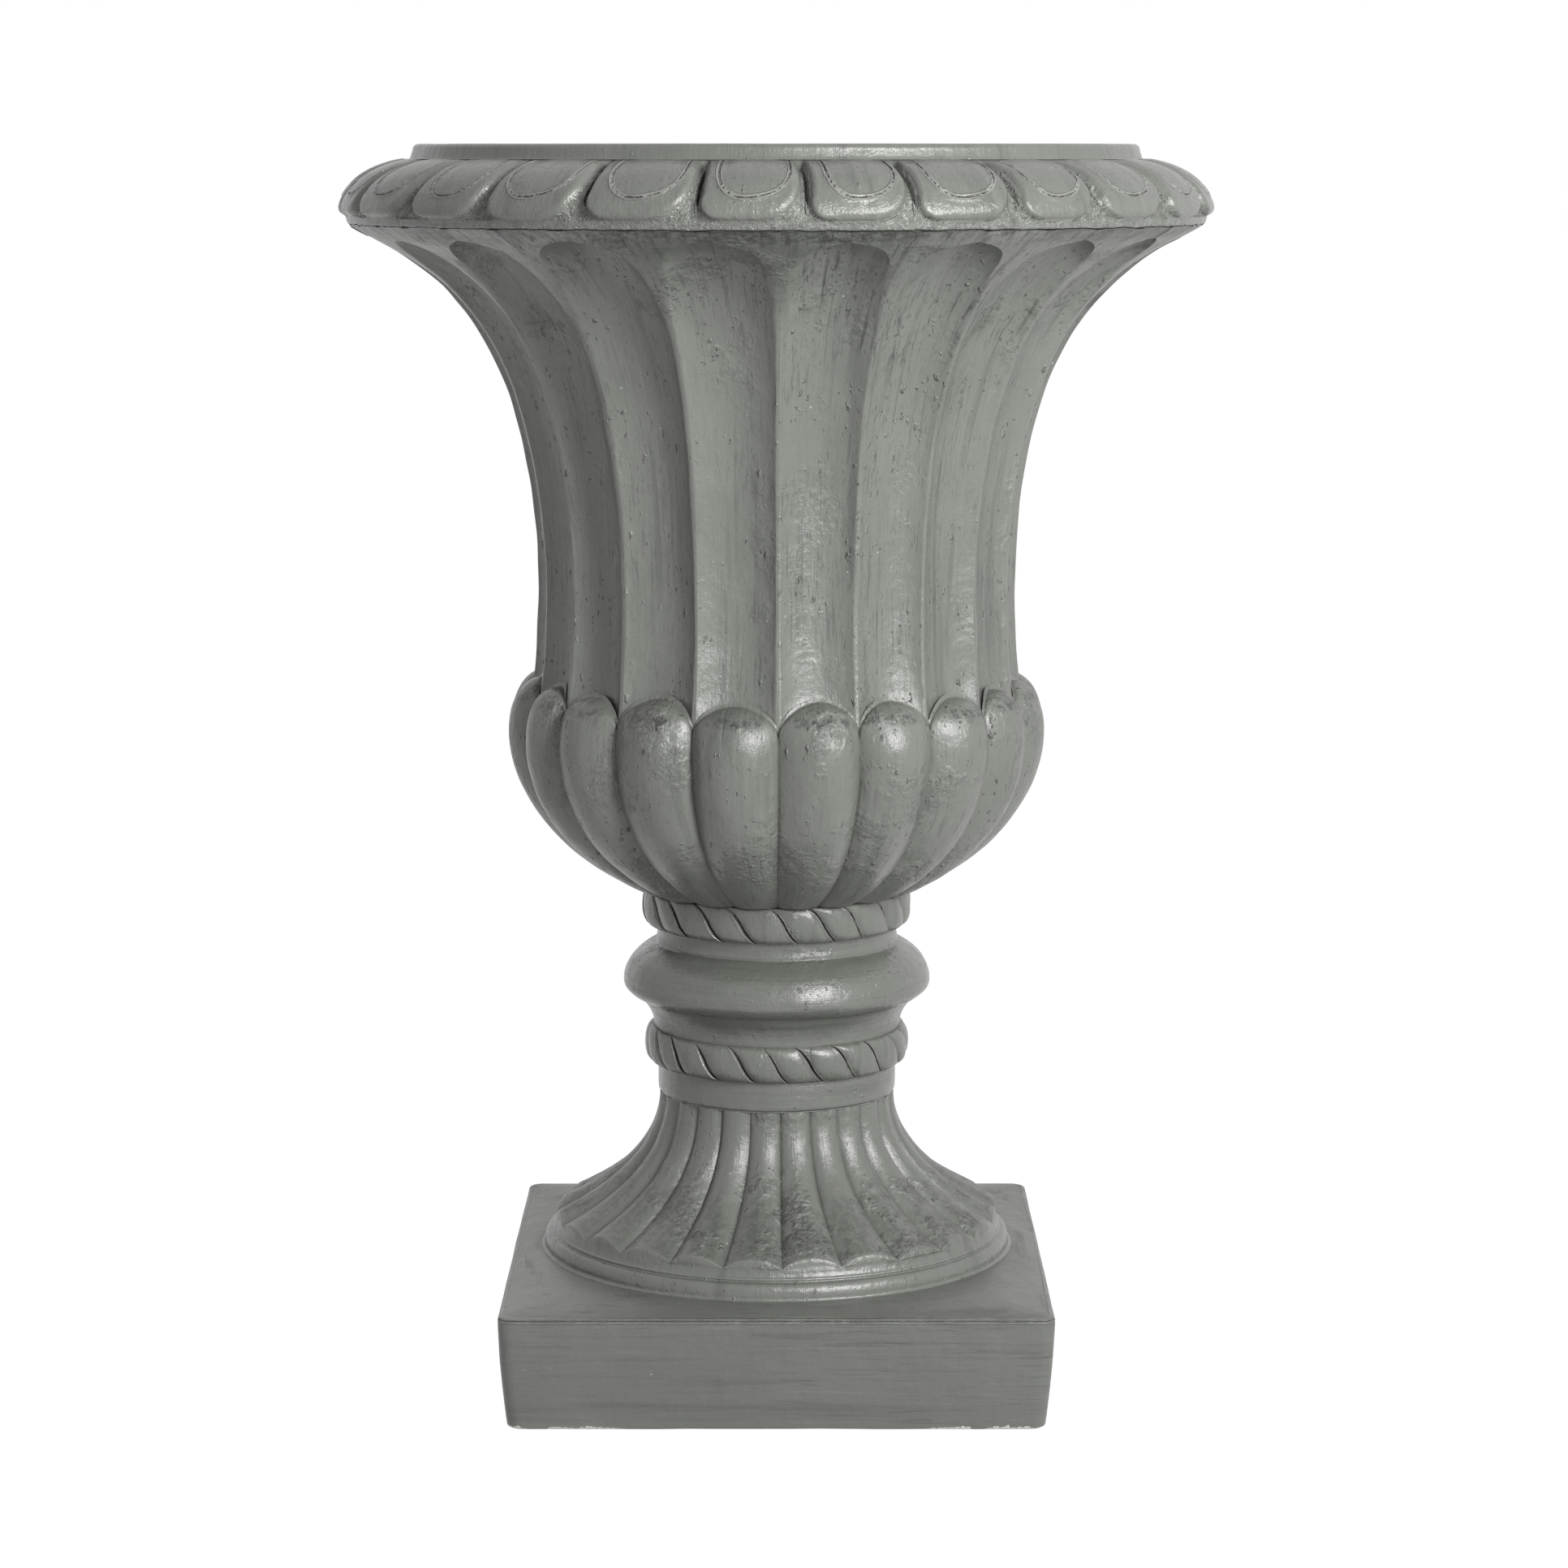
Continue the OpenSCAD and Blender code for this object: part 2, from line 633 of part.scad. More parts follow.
module bowl() {
  columns = ring_columns(flutes, flute_columns);
  inner_r = bowl_r - lobe_depth - bowl_wall;
  inner_h = belly_z - floor_z;
  color(stone)
    difference() {
      ring_solid(concat(
        [
          flat_ring(columns, stem_spigot_r, bowl_z0 - spigot_h),
          flat_ring(columns, stem_spigot_r, bowl_z0)
        ],
        [for (t = bowl_steps) [for (c = columns) around(c[0], lobe_point(t, c[1]))]],
        [[for (c = columns) let (z = mix(belly_z, bowl_seat_z, 0.5)) around(c[0], [head_r(c[1], z), z])]],
        [head_ring(columns, 0), head_ring(columns, 0.6), head_ring(columns, 1)],
        [socket_ring(columns, 1), socket_ring(columns, 0)],
        [flat_ring(columns, bell_spigot_r + socket_margin, bowl_seat_z)]
      ));
      bore(bell_spigot_r + spigot_clear, bell_z0 - spigot_h - spigot_clear, bowl_seat_z + over);
      rotate_extrude()
        polygon(concat(
          [[0, floor_z], [mix(0, inner_r, 0.42), floor_z]],
          [for (a = [64, 48, 32, 16, 0]) [inner_r * cos(a), belly_z - inner_h * sin(a)]],
          [[bell_base_bore_r, belly_z + shoulder_h], [bell_base_bore_r, bowl_seat_z + over]],
          [[0, bowl_seat_z + over]]
        ));
      bore(core_r, bowl_z0 - spigot_h - over, bowl_z0);
      bore(rod_r + rod_clear, bowl_z0 - over, floor_z + over);
      translate([drain_offset, 0, 0])
        bore(sleeve_r, bowl_z0 - over, floor_z + over);
    }
}

// Rim: tongues laid over a rounded roll, with a plain lip below and a collar above
roll_core_in = 7;
roll_core_r = collar_r - roll_core_in;
roll_end = acos((collar_r - roll_core_r) / (rim_r - roll_core_r));
tongue_turn = -2 - 180 / tongues;
roll_steps = [0, 0.05, 0.13, 0.25, 0.34, 0.55, 0.8, 1];
collar_round = 4;
collar_chamfer = 3;
lip_in = 0.5;

// Share of the full relief: a raised border, an incised line and a dome inside it
function tongue(share, t) =
  let (
    v = abs(2 * share - 1),
    low = max(0, 1 - t / 0.16),
    d = sqrt(pow(v, 4) + pow(low, 4)),
    dome = t < 0.27 ? 0.95 : 1.05
  )
  t >= 1 ? 1
  : d > 0.9 ? 0
  : t > 0.2 && v > 0.55 && v < 0.68 ? 0.6
  : v < 0.55 ? dome
  : 1;
function roll_point(t, share) =
  let (
    angle = roll_end * t,
    n = [cos(angle), sin(angle)],
    full = rim_r - roll_core_r,
    p = [roll_core_r + full * cos(angle), roll_z0 + rim_roll_h * sin(angle) / sin(roll_end)]
  ) p - (1 - tongue(share, t)) * tongue_relief * n;

module rim() {
  columns = ring_columns(tongues, tongue_columns, tongue_turn);
  lip_r = rim_r - tongue_relief;
  color(stone)
    difference() {
      ring_solid(concat(
        [
          flat_ring(columns, rim_spigot_r, rim_z0 - spigot_h),
          flat_ring(columns, rim_spigot_r, rim_z0),
          flat_ring(columns, lip_r - lip_in, rim_z0)
        ],
        [for (t = roll_steps) [for (c = columns) around(c[0], roll_point(t, c[1]))]],
        [
          flat_ring(columns, collar_r, mix(collar_z0, collar_z1, 0.05)),
          flat_ring(columns, collar_r, collar_z1 - collar_round),
          flat_ring(columns, collar_r - 0.3 * collar_round, collar_z1 - 0.3 * collar_round),
          flat_ring(columns, collar_r - collar_round, collar_z1)
        ]
      ));
      bore(mouth_r, rim_z0 - spigot_h - over, collar_z1 + over);
      translate([0, 0, collar_z1 - collar_chamfer])
        cylinder(r1 = mouth_r, r2 = mouth_r + collar_chamfer + over, h = collar_chamfer + over);
    }
}

// Bedding compound in each joint, set back from the outside
bed_in = 1;
module bed(r_out, r_in, z0) {
  color(bedding)
    ring(r_out, r_in, z0, bed_t);
}

module foot_bed() {
  bed(foot_ring_r - bed_inset, foot_boss_r + 2 * bed_inset, seat_z);
}

module stem_bed() {
  bed(foot_neck_r - foot_reed_depth * 0.4 - bed_inset, stem_spigot_r + bed_in, foot_z1);
}

module bowl_bed() {
  bed(rope_seat_r - bed_inset, stem_spigot_r + bed_in, stem_z1);
}

module bell_bed() {
  bed(bell_base_r - flute_depth - bed_in, bell_spigot_r + bed_in, bowl_seat_z);
}

module rim_bed() {
  bed(bell_lip_r - bed_inset, rim_spigot_r + 2 * bed_inset, bell_z1);
}

// Tie rod and its fasteners
module tie_rod() {
  color(steel)
    bore(rod_r, rod_z0, rod_z1);
}

module nut(z0) {
  color(steel)
    translate([0, 0, z0])
      difference() {
        cylinder(r = nut_flats / 2 / cos(30), h = nut_h, $fn = 6);
        translate([0, 0, -over])
          cylinder(r = rod_r, h = nut_h + 2 * over);
      }
}

module top_nut() {
  nut(top_nut_z);
}

module bottom_nut() {
  nut(bottom_nut_z);
}

module top_washer() {
  color(steel)
    ring(washer_r, rod_r + rod_clear, top_washer_z, washer_t);
}

module bottom_washer() {
  color(steel)
    ring(washer_r, rod_r + rod_clear, bottom_washer_z, washer_t);
}

// Split ring, cut through on one side
lock_washer_gap = 1.2;

module lock_washer() {
  lock_washer_r = nut_flats / 2;
  color(steel)
    difference() {
      ring(lock_washer_r, rod_r + rod_clear / 2, lock_washer_z, lock_washer_t);
      translate([0, -lock_washer_gap / 2, lock_washer_z - over])
        cube([lock_washer_r + over, lock_washer_gap, lock_washer_t + 2 * over]);
    }
}

module sealing_washer() {
  color(rubber)
    ring(washer_r, rod_r, seal_z, seal_t);
}

// Bar across the passage, which leaves both sides open for the water
module clamp_bar() {
  color(steel)
    difference() {
      translate([-clamp_bar_l / 2, -clamp_bar_w / 2, clamp_bar_z])
        cube([clamp_bar_l, clamp_bar_w, clamp_bar_t]);
      bore(rod_r + rod_clear, clamp_bar_z - over, slab_z + over);
    }
}

// Drain: a flanged sleeve through the floor and a plug that lifts out
module drain_sleeve() {
  sleeve_z0 = bowl_z0 - sleeve_drip;
  color(rubber)
    translate([drain_offset, 0, 0])
      difference() {
        union() {
          bore(sleeve_r, sleeve_z0, sleeve_top_z);
          bore(sleeve_flange_r, floor_z, sleeve_top_z);
        }
        bore(drain_r, sleeve_z0 - over, sleeve_top_z + over);
      }
}

module drain_plug() {
  ring_z = sleeve_top_z + plug_head_h + plug_ring_r;
  color(rubber)
    translate([drain_offset, 0, 0])
      union() {
        bore(drain_r - plug_clear, sleeve_top_z - plug_l, sleeve_top_z);
        bore(plug_head_r, sleeve_top_z, sleeve_top_z + plug_head_h);
        translate([0, 0, ring_z])
          rotate([90, 0, 0])
            rotate_extrude()
              translate([plug_ring_r, 0])
                circle(r = plug_ring_t / 2, $fn = 24);
      }
}

plinth();
foot();
stem();
lower_rope();
upper_rope();
bowl();
bell();
rim();
foot_bed();
stem_bed();
bowl_bed();
bell_bed();
rim_bed();
tie_rod();
top_nut();
top_washer();
sealing_washer();
clamp_bar();
bottom_washer();
lock_washer();
bottom_nut();
drain_sleeve();
drain_plug();
pad(-1, -1);  // front_left_pad
pad(1, -1);  // front_right_pad
pad(-1, 1);  // rear_left_pad
pad(1, 1);  // rear_right_pad
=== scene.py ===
import math

import bpy
import numpy as np
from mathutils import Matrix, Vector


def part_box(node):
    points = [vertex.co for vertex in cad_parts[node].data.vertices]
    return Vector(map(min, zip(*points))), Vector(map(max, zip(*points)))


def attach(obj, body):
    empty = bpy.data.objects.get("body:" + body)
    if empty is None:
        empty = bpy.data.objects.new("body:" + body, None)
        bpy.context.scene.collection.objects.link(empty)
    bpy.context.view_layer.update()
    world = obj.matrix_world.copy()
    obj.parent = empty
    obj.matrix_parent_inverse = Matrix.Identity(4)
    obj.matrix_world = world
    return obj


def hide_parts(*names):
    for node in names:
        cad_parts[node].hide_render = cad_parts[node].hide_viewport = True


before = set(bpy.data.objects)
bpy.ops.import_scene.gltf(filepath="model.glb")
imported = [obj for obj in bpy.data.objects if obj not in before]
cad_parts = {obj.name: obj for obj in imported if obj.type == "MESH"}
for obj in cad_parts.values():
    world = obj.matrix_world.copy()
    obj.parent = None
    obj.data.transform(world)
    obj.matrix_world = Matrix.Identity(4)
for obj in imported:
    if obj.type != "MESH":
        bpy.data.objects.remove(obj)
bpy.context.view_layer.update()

# Shapes are in millimetres and degrees. Angles start at the front (-Y) and run towards +X.
# Textures, lights and the camera are in metres.
MM = 0.001


def bottom(node):
    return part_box(node)[0].z / MM


def top(node):
    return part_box(node)[1].z / MM


# Levels, taken from the solids
PLINTH_Z0 = bottom("plinth")
SEAT_Z = bottom("foot_bed")
FOOT_Z1 = bottom("stem_bed")
STEM_Z0 = top("stem_bed")
STEM_Z1 = bottom("bowl_bed")
BOWL_Z0 = top("bowl_bed")
BOWL_SEAT_Z = bottom("bell_bed")
BELL_Z0 = top("bell_bed")
BELL_Z1 = bottom("rim_bed")
RIM_Z0 = top("rim_bed")
RIM_Z1 = top("rim")
FLOOR_Z = bottom("sealing_washer")
BED_H = 1.2

# Each flute of the bell stands over one gadroon of the bowl
FLUTES = 20
FLUTE_PITCH = 360 / FLUTES
FOOT_REEDS = 24
TONGUES = 26

# Spigots centre each casting on the one below, and a passage for the rod runs up the middle
SPIGOT_H = 8.0
CLEAR = 0.5
SOCKET_H = SPIGOT_H + CLEAR
CORE_R = 36.0
STEM_SPIGOT_R = 55.0
BELL_SPIGOT_R = 141.0
BELL_BORE_R = 126.0
RIM_SPIGOT_R = 234.0
MOUTH_R = 215.0


# Small helpers

def mix(a, b, t):
    return a + (b - a) * t


def clamp01(t):
    return np.clip(t, 0.0, 1.0)


def smooth(a, b, x):
    t = clamp01((x - a) / (b - a))
    return t * t * (3 - 2 * t)


def bump(x, middle, width):
    return np.exp(-(((x - middle) / width) ** 2))


def bezier(p0, p1, p2, p3, t):
    t = np.asarray(t, float)[..., None]
    p0, p1, p2, p3 = (np.asarray(p, float) for p in (p0, p1, p2, p3))
    return (1 - t) ** 3 * p0 + 3 * (1 - t) ** 2 * t * p1 + 3 * (1 - t) * t * t * p2 + t**3 * p3


def skewed(s, skew):
    """Place across a pitch, from -1 to 1, at share s of it; skew pushes the middle aside."""
    v = 2 * s - 1
    return v + skew * (1 - v * v)


def across(values, number, s):
    """Values that belong to the edges between pitches, mixed at share s of the pitch with that number."""
    return mix(values[number], values[(number + 1) % len(values)], s)


# Share of a circle's radius that an arch takes up
ARCH_SHARE = 0.93


def arch(v):
    """A rounded hollow or lobe: 0 at both edges of a pitch (v = -1, 1) and 1 in the middle."""
    low = math.sqrt(1 - ARCH_SHARE**2)
    v = np.clip(np.abs(v), 0, 1)
    return (np.sqrt(1 - (ARCH_SHARE * v) ** 2) - low) / (1 - low)


def length_along(line):
    """Length from the first point of a line to each of its points."""
    return np.concatenate([[0], np.cumsum(np.linalg.norm(np.diff(line, axis=0), axis=1))])


def waves(points, length, seed):
    """Smooth seeded swells, mostly less than 1 high, with wavelengths around the given length."""
    count = 14
    rng = np.random.default_rng(seed)
    total = np.zeros(len(points))
    for _ in range(count):
        direction = rng.normal(size=3)
        direction /= np.linalg.norm(direction)
        wavelength = length * rng.uniform(0.6, 1.6)
        total += np.sin(points @ direction * (2 * math.pi / wavelength) + rng.uniform(0, 2 * math.pi))
    return total / math.sqrt(count) / 1.6


# Meshes

# The line value of points that are far from any incised line
NO_LINE = -9.0
# Brush strokes are drawn out by these factors: up a piece's section, or round the piece
STROKE_UP, STROKE_ROUND = 14, 26
# Wavelengths of the broad and the fine unevenness, and the fine one's share of the height
LUMP_LENGTH, DENT_LENGTH, DENT_SHARE = 90, 24, 0.35


class Rows:
    """Closed loops of points round the axis, which follow each other round a piece's section."""

    def __init__(self, columns=None):
        self.columns = columns
        self.points, self.rough, self.worn, self.line = [], [], [], []

    def loop(self, points, rough=0.0, worn=0.0, line=NO_LINE):
        """rough is hand-cast unevenness, worn is scuffing, and line is minus the mm to an incised line."""
        self.points.append(points)
        for values, value in ((self.rough, rough), (self.worn, worn), (self.line, line)):
            values.append(np.broadcast_to(value, len(points)))

    def ring(self, radius, height, rough=0.0, angle=None, worn=0.0, line=NO_LINE):
        """A loop at the columns, or at the given angles."""
        angle = np.radians(self.columns if angle is None else angle)
        xyz = np.broadcast_arrays(radius * np.sin(angle), -radius * np.cos(angle), height)
        self.loop(np.stack(xyz, 1), rough, worn, line)

    def path(self, *steps):
        """Rings given as (radius, height) or (radius, height, rough)."""
        for step in steps:
            self.ring(*step)


def set_points(mesh, points):
    mesh.vertices.foreach_set("co", (points * MM).astype(np.float32).ravel())


def vertex_values(mesh, name):
    values = np.empty(len(mesh.vertices) * 3)
    mesh.vertices.foreach_get(name, values)
    return values.reshape(-1, 3)


def add_values(mesh, name, values):
    kind, field = ("FLOAT_VECTOR", "vector") if values.ndim == 2 else ("FLOAT", "value")
    attribute = mesh.attributes.new(name, kind, "POINT")
    attribute.data.foreach_set(field, values.astype(np.float32).ravel())


def bend_of(mesh, rounds):
    """How far the surface bends at each point, in 1/mm: above 0 in a hollow, below 0 on a ridge."""
    points, normal = vertex_values(mesh, "co"), vertex_values(mesh, "normal")
    ends = np.empty(len(mesh.edges) * 2, np.int32)
    mesh.edges.foreach_get("vertices", ends)
    a, b = ends.reshape(-1, 2).T
    step = (points[b] - points[a]) / MM
    length2 = (step**2).sum(1) + 1e-3
    count = len(points)
    degree = np.bincount(a, minlength=count) + np.bincount(b, minlength=count)
    bend = np.bincount(a, (normal[a] * step).sum(1) / length2, count)
    bend += np.bincount(b, -(normal[b] * step).sum(1) / length2, count)
    bend = np.clip(bend / degree, -1, 1)
    for _ in range(rounds):
        bend = (bend + np.bincount(a, bend[b], count) + np.bincount(b, bend[a], count)) / (1 + degree)
    return bend


def closed_mesh(name, points):
    """Smooth quads between neighbouring loops, with the last loop joined to the first."""
    m, n, _ = points.shape
    i, j = np.meshgrid(np.arange(m), np.arange(n), indexing="ij")
    up, right = (i + 1) % m, (j + 1) % n
    quads = np.stack([i * n + j, i * n + right, up * n + right, up * n + j], -1).reshape(-1, 4)
    mesh = bpy.data.meshes.new(name)
    mesh.vertices.add(m * n)
    set_points(mesh, points)
    mesh.loops.add(quads.size)
    mesh.loops.foreach_set("vertex_index", quads.ravel().astype(np.int32))
    mesh.polygons.add(len(quads))
    mesh.polygons.foreach_set("loop_start", np.arange(0, quads.size, 4, dtype=np.int32))
    mesh.polygons.foreach_set("use_smooth", np.ones(len(quads), bool))
    mesh.update(calc_edges=True)
    return mesh


def brush_places(points, brush_r):
    """Coordinates for strokes that run up the section, or round the piece where brush_r is None."""
    if brush_r is None:
        return points * (1 / STROKE_ROUND, 1 / STROKE_ROUND, 1)
    section = np.stack([np.hypot(points[..., 0], points[..., 1]).mean(1), points.mean(1)[:, 2]], 1)
    angle = np.arctan2(points[..., 0], -points[..., 1])
    up = np.broadcast_to(length_along(section)[:, None] / STROKE_UP, angle.shape)
    return np.stack([brush_r * np.sin(angle), brush_r * np.cos(angle), up], -1)


def build(name, rows, lump, seed, brush_r=None):
    """A closed piece from rows, uneven by about lump, with the values that its paint reads."""
    points = np.array(rows.points)
    mesh = closed_mesh(name, points)
    flat = points.reshape(-1, 3)
    swell = lump * waves(flat, LUMP_LENGTH, seed) + DENT_SHARE * lump * waves(flat, DENT_LENGTH, seed + 1)
    set_points(mesh, flat + vertex_values(mesh, "normal") * (swell * np.array(rows.rough).ravel())[:, None])
    mesh.update()
    add_values(mesh, "brush", brush_places(points, brush_r).reshape(-1, 3) * MM)
    add_values(mesh, "bend_fine", bend_of(mesh, 1))
    add_values(mesh, "bend_broad", bend_of(mesh, 10))
    add_values(mesh, "worn", np.array(rows.worn).ravel())
    add_values(mesh, "line", np.maximum(np.array(rows.line).ravel(), NO_LINE))
    mesh.set_sharp_from_angle(angle=math.radians(50))
    piece = bpy.data.objects.new(name, mesh)
    bpy.context.scene.collection.objects.link(piece)
    return piece


def shares(count):
    """Places across one pitch, closer together at both edges."""
    t = np.arange(count) / count
    return t - 0.6 * np.sin(2 * math.pi * t) / (2 * math.pi)


def pitch_columns(pitches, share):
    """Each column's angle, its share of its pitch, and its pitch's number."""
    angle = (np.arange(pitches)[:, None] + share[None, :]) * 360 / pitches
    return angle.ravel(), np.tile(share, pitches), np.repeat(np.arange(pitches), len(share))


def corner(rows, start, end, steps, rough=(0.0, 0.0), height_first=False):
    """A quarter-round from one (radius, height) to another; it starts along the radius or the height."""
    for t in np.linspace(0, 1, steps + 1):
        a = t * math.pi / 2
        k = (1 - math.cos(a), math.sin(a)) if height_first else (math.sin(a), 1 - math.cos(a))
        rows.ring(mix(start[0], end[0], k[0]), mix(start[1], end[1], k[1]), mix(rough[0], rough[1], t))


# Plinth

PLINTH_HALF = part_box("plinth")[1].x / MM
DRAFT = 5.0
EDGE_Z = PLINTH_Z0 + 73
SLAB_Z = EDGE_Z - 22
CORNER_R = 9.0
HOLLOW_HALF = 151.0
# The bottom edge's round, and how far the top edge is rounded inwards and downwards
BASE_ROUND = 2.5
EDGE_IN, EDGE_DOWN = 2.0, 2.2
LINE_DROP = 1.2
# The crowned top ends at this radius, and the boss stands up inside the foot
CROWN_R = 156.0
BOSS_R, BOSS_H = 100, 5


def square_loop(half):
    """Points round a square with round corners, anticlockwise from above."""
    per_side, per_corner = 60, 10
    flat = half - CORNER_R
    side = np.stack([np.linspace(-flat, flat, per_side, endpoint=False), np.full(per_side, -half)], 1)
    a = np.linspace(0, math.pi / 2, per_corner, endpoint=False)
    bend = np.stack([flat + CORNER_R * np.sin(a), -flat - CORNER_R * np.cos(a)], 1)
    quarter = np.concatenate([side, bend])
    turns = []
    for k in range(4):
        c, s = math.cos(k * math.pi / 2), math.sin(k * math.pi / 2)
        turns.append(quarter @ np.array([[c, s], [-s, c]]))
    return np.concatenate(turns)


def plinth_piece():
    outline = square_loop(PLINTH_HALF)
    direction = outline / np.linalg.norm(outline, axis=1)[:, None]
    rows = Rows()

    def level(xy, z, rough=0.0, worn=0.0, line=NO_LINE):
        rows.loop(np.column_stack([xy, np.full(len(xy), z)]), rough, worn, line)

    level(square_loop(HOLLOW_HALF), SLAB_Z)
    level(square_loop(HOLLOW_HALF), PLINTH_Z0)
    base_half = PLINTH_HALF - DRAFT
    level(square_loop(base_half - BASE_ROUND), PLINTH_Z0, 0.3)
    for a in np.radians([25, 50, 75, 90]):
        half = base_half - BASE_ROUND * (1 - math.sin(a))
        level(square_loop(half), PLINTH_Z0 + BASE_ROUND * (1 - math.cos(a)), 0.5)
    # The sides lean in towards the bottom, mostly low down
    for t in np.linspace(0, 1, 26)[1:]:
        z = mix(PLINTH_Z0 + BASE_ROUND, EDGE_Z - EDGE_DOWN, t)
        line = -abs(z - EDGE_Z + LINE_DROP)
        level(square_loop(PLINTH_HALF - DRAFT * (1 - t) ** 1.6), z, 0.6, 0.3, line)
    for a in np.radians([30, 60, 90]):
        z = EDGE_Z - EDGE_DOWN + EDGE_DOWN * math.sin(a)
        line = -abs(z - EDGE_Z + LINE_DROP)
        level(square_loop(PLINTH_HALF - EDGE_IN * (1 - math.cos(a))), z, 0.5, 0.0, line)
    edge = square_loop(PLINTH_HALF - EDGE_IN)
    for t in np.linspace(0, 1, 34)[1:]:
        crown = mix(EDGE_Z, SEAT_Z, np.sin(t * math.pi / 2))
        line = max(NO_LINE, -LINE_DROP - 20 * t)
        level(mix(edge, direction * CROWN_R, t), crown, 0.5 * (1 - t), 0.2, line)
    level(direction * BOSS_R, SEAT_Z)
    level(direction * BOSS_R, SEAT_Z + BOSS_H)
    level(direction * CORE_R, SEAT_Z + BOSS_H)
    level(direction * CORE_R, SLAB_Z)
    return build("plinth_casting", rows, 0.35, 11)


# Foot

RING_R = 154.0
FACE_LOW_R, FACE_TOP_R = 147.4, 146.0
REED_TIP_Z = SEAT_Z + 18.6
FOOT_TURN = 1.9
# Control points of the curves down a reed's crest and down the valley beside it
REED_CREST = ((77.6, FOOT_Z1), (77.8, 151.0), (100.0, 128.5), (143.8, REED_TIP_Z + 7.2))
REED_VALLEY = ((74.4, FOOT_Z1), (74.2, 148.5), (95.5, 122.5), (145.3, REED_TIP_Z + 0.3))


def foot_ring(rows):
    """The base ring, and the bead over it."""
    bed_top = SEAT_Z + BED_H
    rows.path((CORE_R, bed_top), (BOSS_R + CLEAR, bed_top), (RING_R - 5, bed_top))
    # The ring runs out onto the plinth in a small hollow, where the bedding was smoothed off
    rows.path((RING_R + 1.0, SEAT_Z - 0.2), (RING_R + 1.9, SEAT_Z + 0.05, 0.05),
              (RING_R + 0.9, SEAT_Z + 0.35, 0.1), (RING_R + 0.3, SEAT_Z + 0.9, 0.3),
              (RING_R, SEAT_Z + 1.8, 0.5))
    start, end = (RING_R, SEAT_Z + 2.8), (RING_R - 4.8, SEAT_Z + 10.8)
    corner(rows, start, end, 10, (0.5, 0.4), height_first=True)
    rows.ring(RING_R - 5.3, SEAT_Z + 11.1, 0.4)
    for a in np.radians([-40, -10, 20, 50, 75]):
        rows.ring(RING_R - 6.8 + 1.6 * np.cos(a), SEAT_Z + 12.6 + 1.3 * np.sin(a), 0.4)


def foot_piece():
    angle, s, reed = pitch_columns(FOOT_REEDS, shares(28))
    rng = np.random.default_rng(24)
    sway = rng.uniform(-1.3, 1.3, FOOT_REEDS)
    reach = rng.uniform(-1.2, 0.8, FOOT_REEDS)[reed]
    skew = rng.uniform(-0.05, 0.20, FOOT_REEDS)[reed]
    fat = rng.uniform(0.75, 1.1, FOOT_REEDS)[reed]
    # Each valley wanders a little towards its end, and the columns between follow
    drift = across(sway, reed, s)
    v = skewed(s, skew)
    lobe = mix(arch(v), 1 - v**2, 0.45)
    angle = angle + FOOT_TURN
    rows = Rows(angle)
    foot_ring(rows)
    # A short hollow face rises to the reeds, which end in small arches
    for t in (0, 0.25, 0.5, 0.75, 1):
        r, z = mix(FACE_LOW_R, FACE_TOP_R, t**0.6), mix(SEAT_Z + 14.4, REED_TIP_Z, t)
        rows.ring(r, z, 0.4, angle + drift, 0.3 * t)
    crest_end, valley_end = REED_CREST[-1], REED_VALLEY[-1]
    for u in (0.2, 0.4, 0.6, 0.75, 0.87, 0.95, 1.0):
        closing = 1 - math.sqrt(1 - min(u, 0.999) ** 2.6)
        top_r = mix(valley_end[0], crest_end[0] + reach, lobe)
        top_z = mix(valley_end[1], crest_end[1], lobe * fat)
        r = mix(FACE_TOP_R + reach * 0.6 * lobe, top_r, closing)
        rows.ring(r, mix(REED_TIP_Z, top_z, u), 0.4, angle + drift, 0.55)
    for t in np.linspace(1, 0, 60)[1:]:
        crest, valley = bezier(*REED_CREST, t), bezier(*REED_VALLEY, t)
        r = mix(valley[0], crest[0] + reach * t**6, lobe)
        z = mix(valley[1], crest[1], lobe * mix(1, fat, t**2))
        worn = 0.2 + smooth(0.35, 0.75, t) * (0.35 + 0.6 * lobe) + 0.5 * smooth(0.10, 0.0, t)
        rows.ring(r, z, 0.8 if t > 0.04 else 0.0, angle + drift * t**1.5, worn)
    # The joint under the band is smoothed off
    rows.path((77.0, FOOT_Z1 + 0.2), (77.1, FOOT_Z1 + 0.95), (74.6, FOOT_Z1 + 0.95), (74.5, FOOT_Z1),
              (STEM_SPIGOT_R, FOOT_Z1), (STEM_SPIGOT_R, FOOT_Z1 + SPIGOT_H), (CORE_R, FOOT_Z1 + SPIGOT_H))
    return build("foot_casting", rows, 0.5, 21, brush_r=110)


# Stem

BAND_R, BAND_H = 78.3, 19
ROPE_SEAT_R = 73.5
ROPE_LOW_Z0, ROPE_LOW_Z1 = bottom("lower_rope"), top("lower_rope")
ROPE_UP_Z0, ROPE_UP_Z1 = bottom("upper_rope"), top("upper_rope")
CAVETTO_LOW_R, CAVETTO_TOP_R = 81.2, 91.2
KNOP_START_R, KNOP_R = 92.4, 101.0
KNOP_Z0 = ROPE_LOW_Z1 + 20.5
# Heights of the knop below and above its widest level
KNOP_BELOW, KNOP_ABOVE = 9.5, 25.6
KNOP_Z = KNOP_Z0 + KNOP_BELOW
FILLET_R = 79.0
FILLET_Z0 = KNOP_Z + KNOP_ABOVE


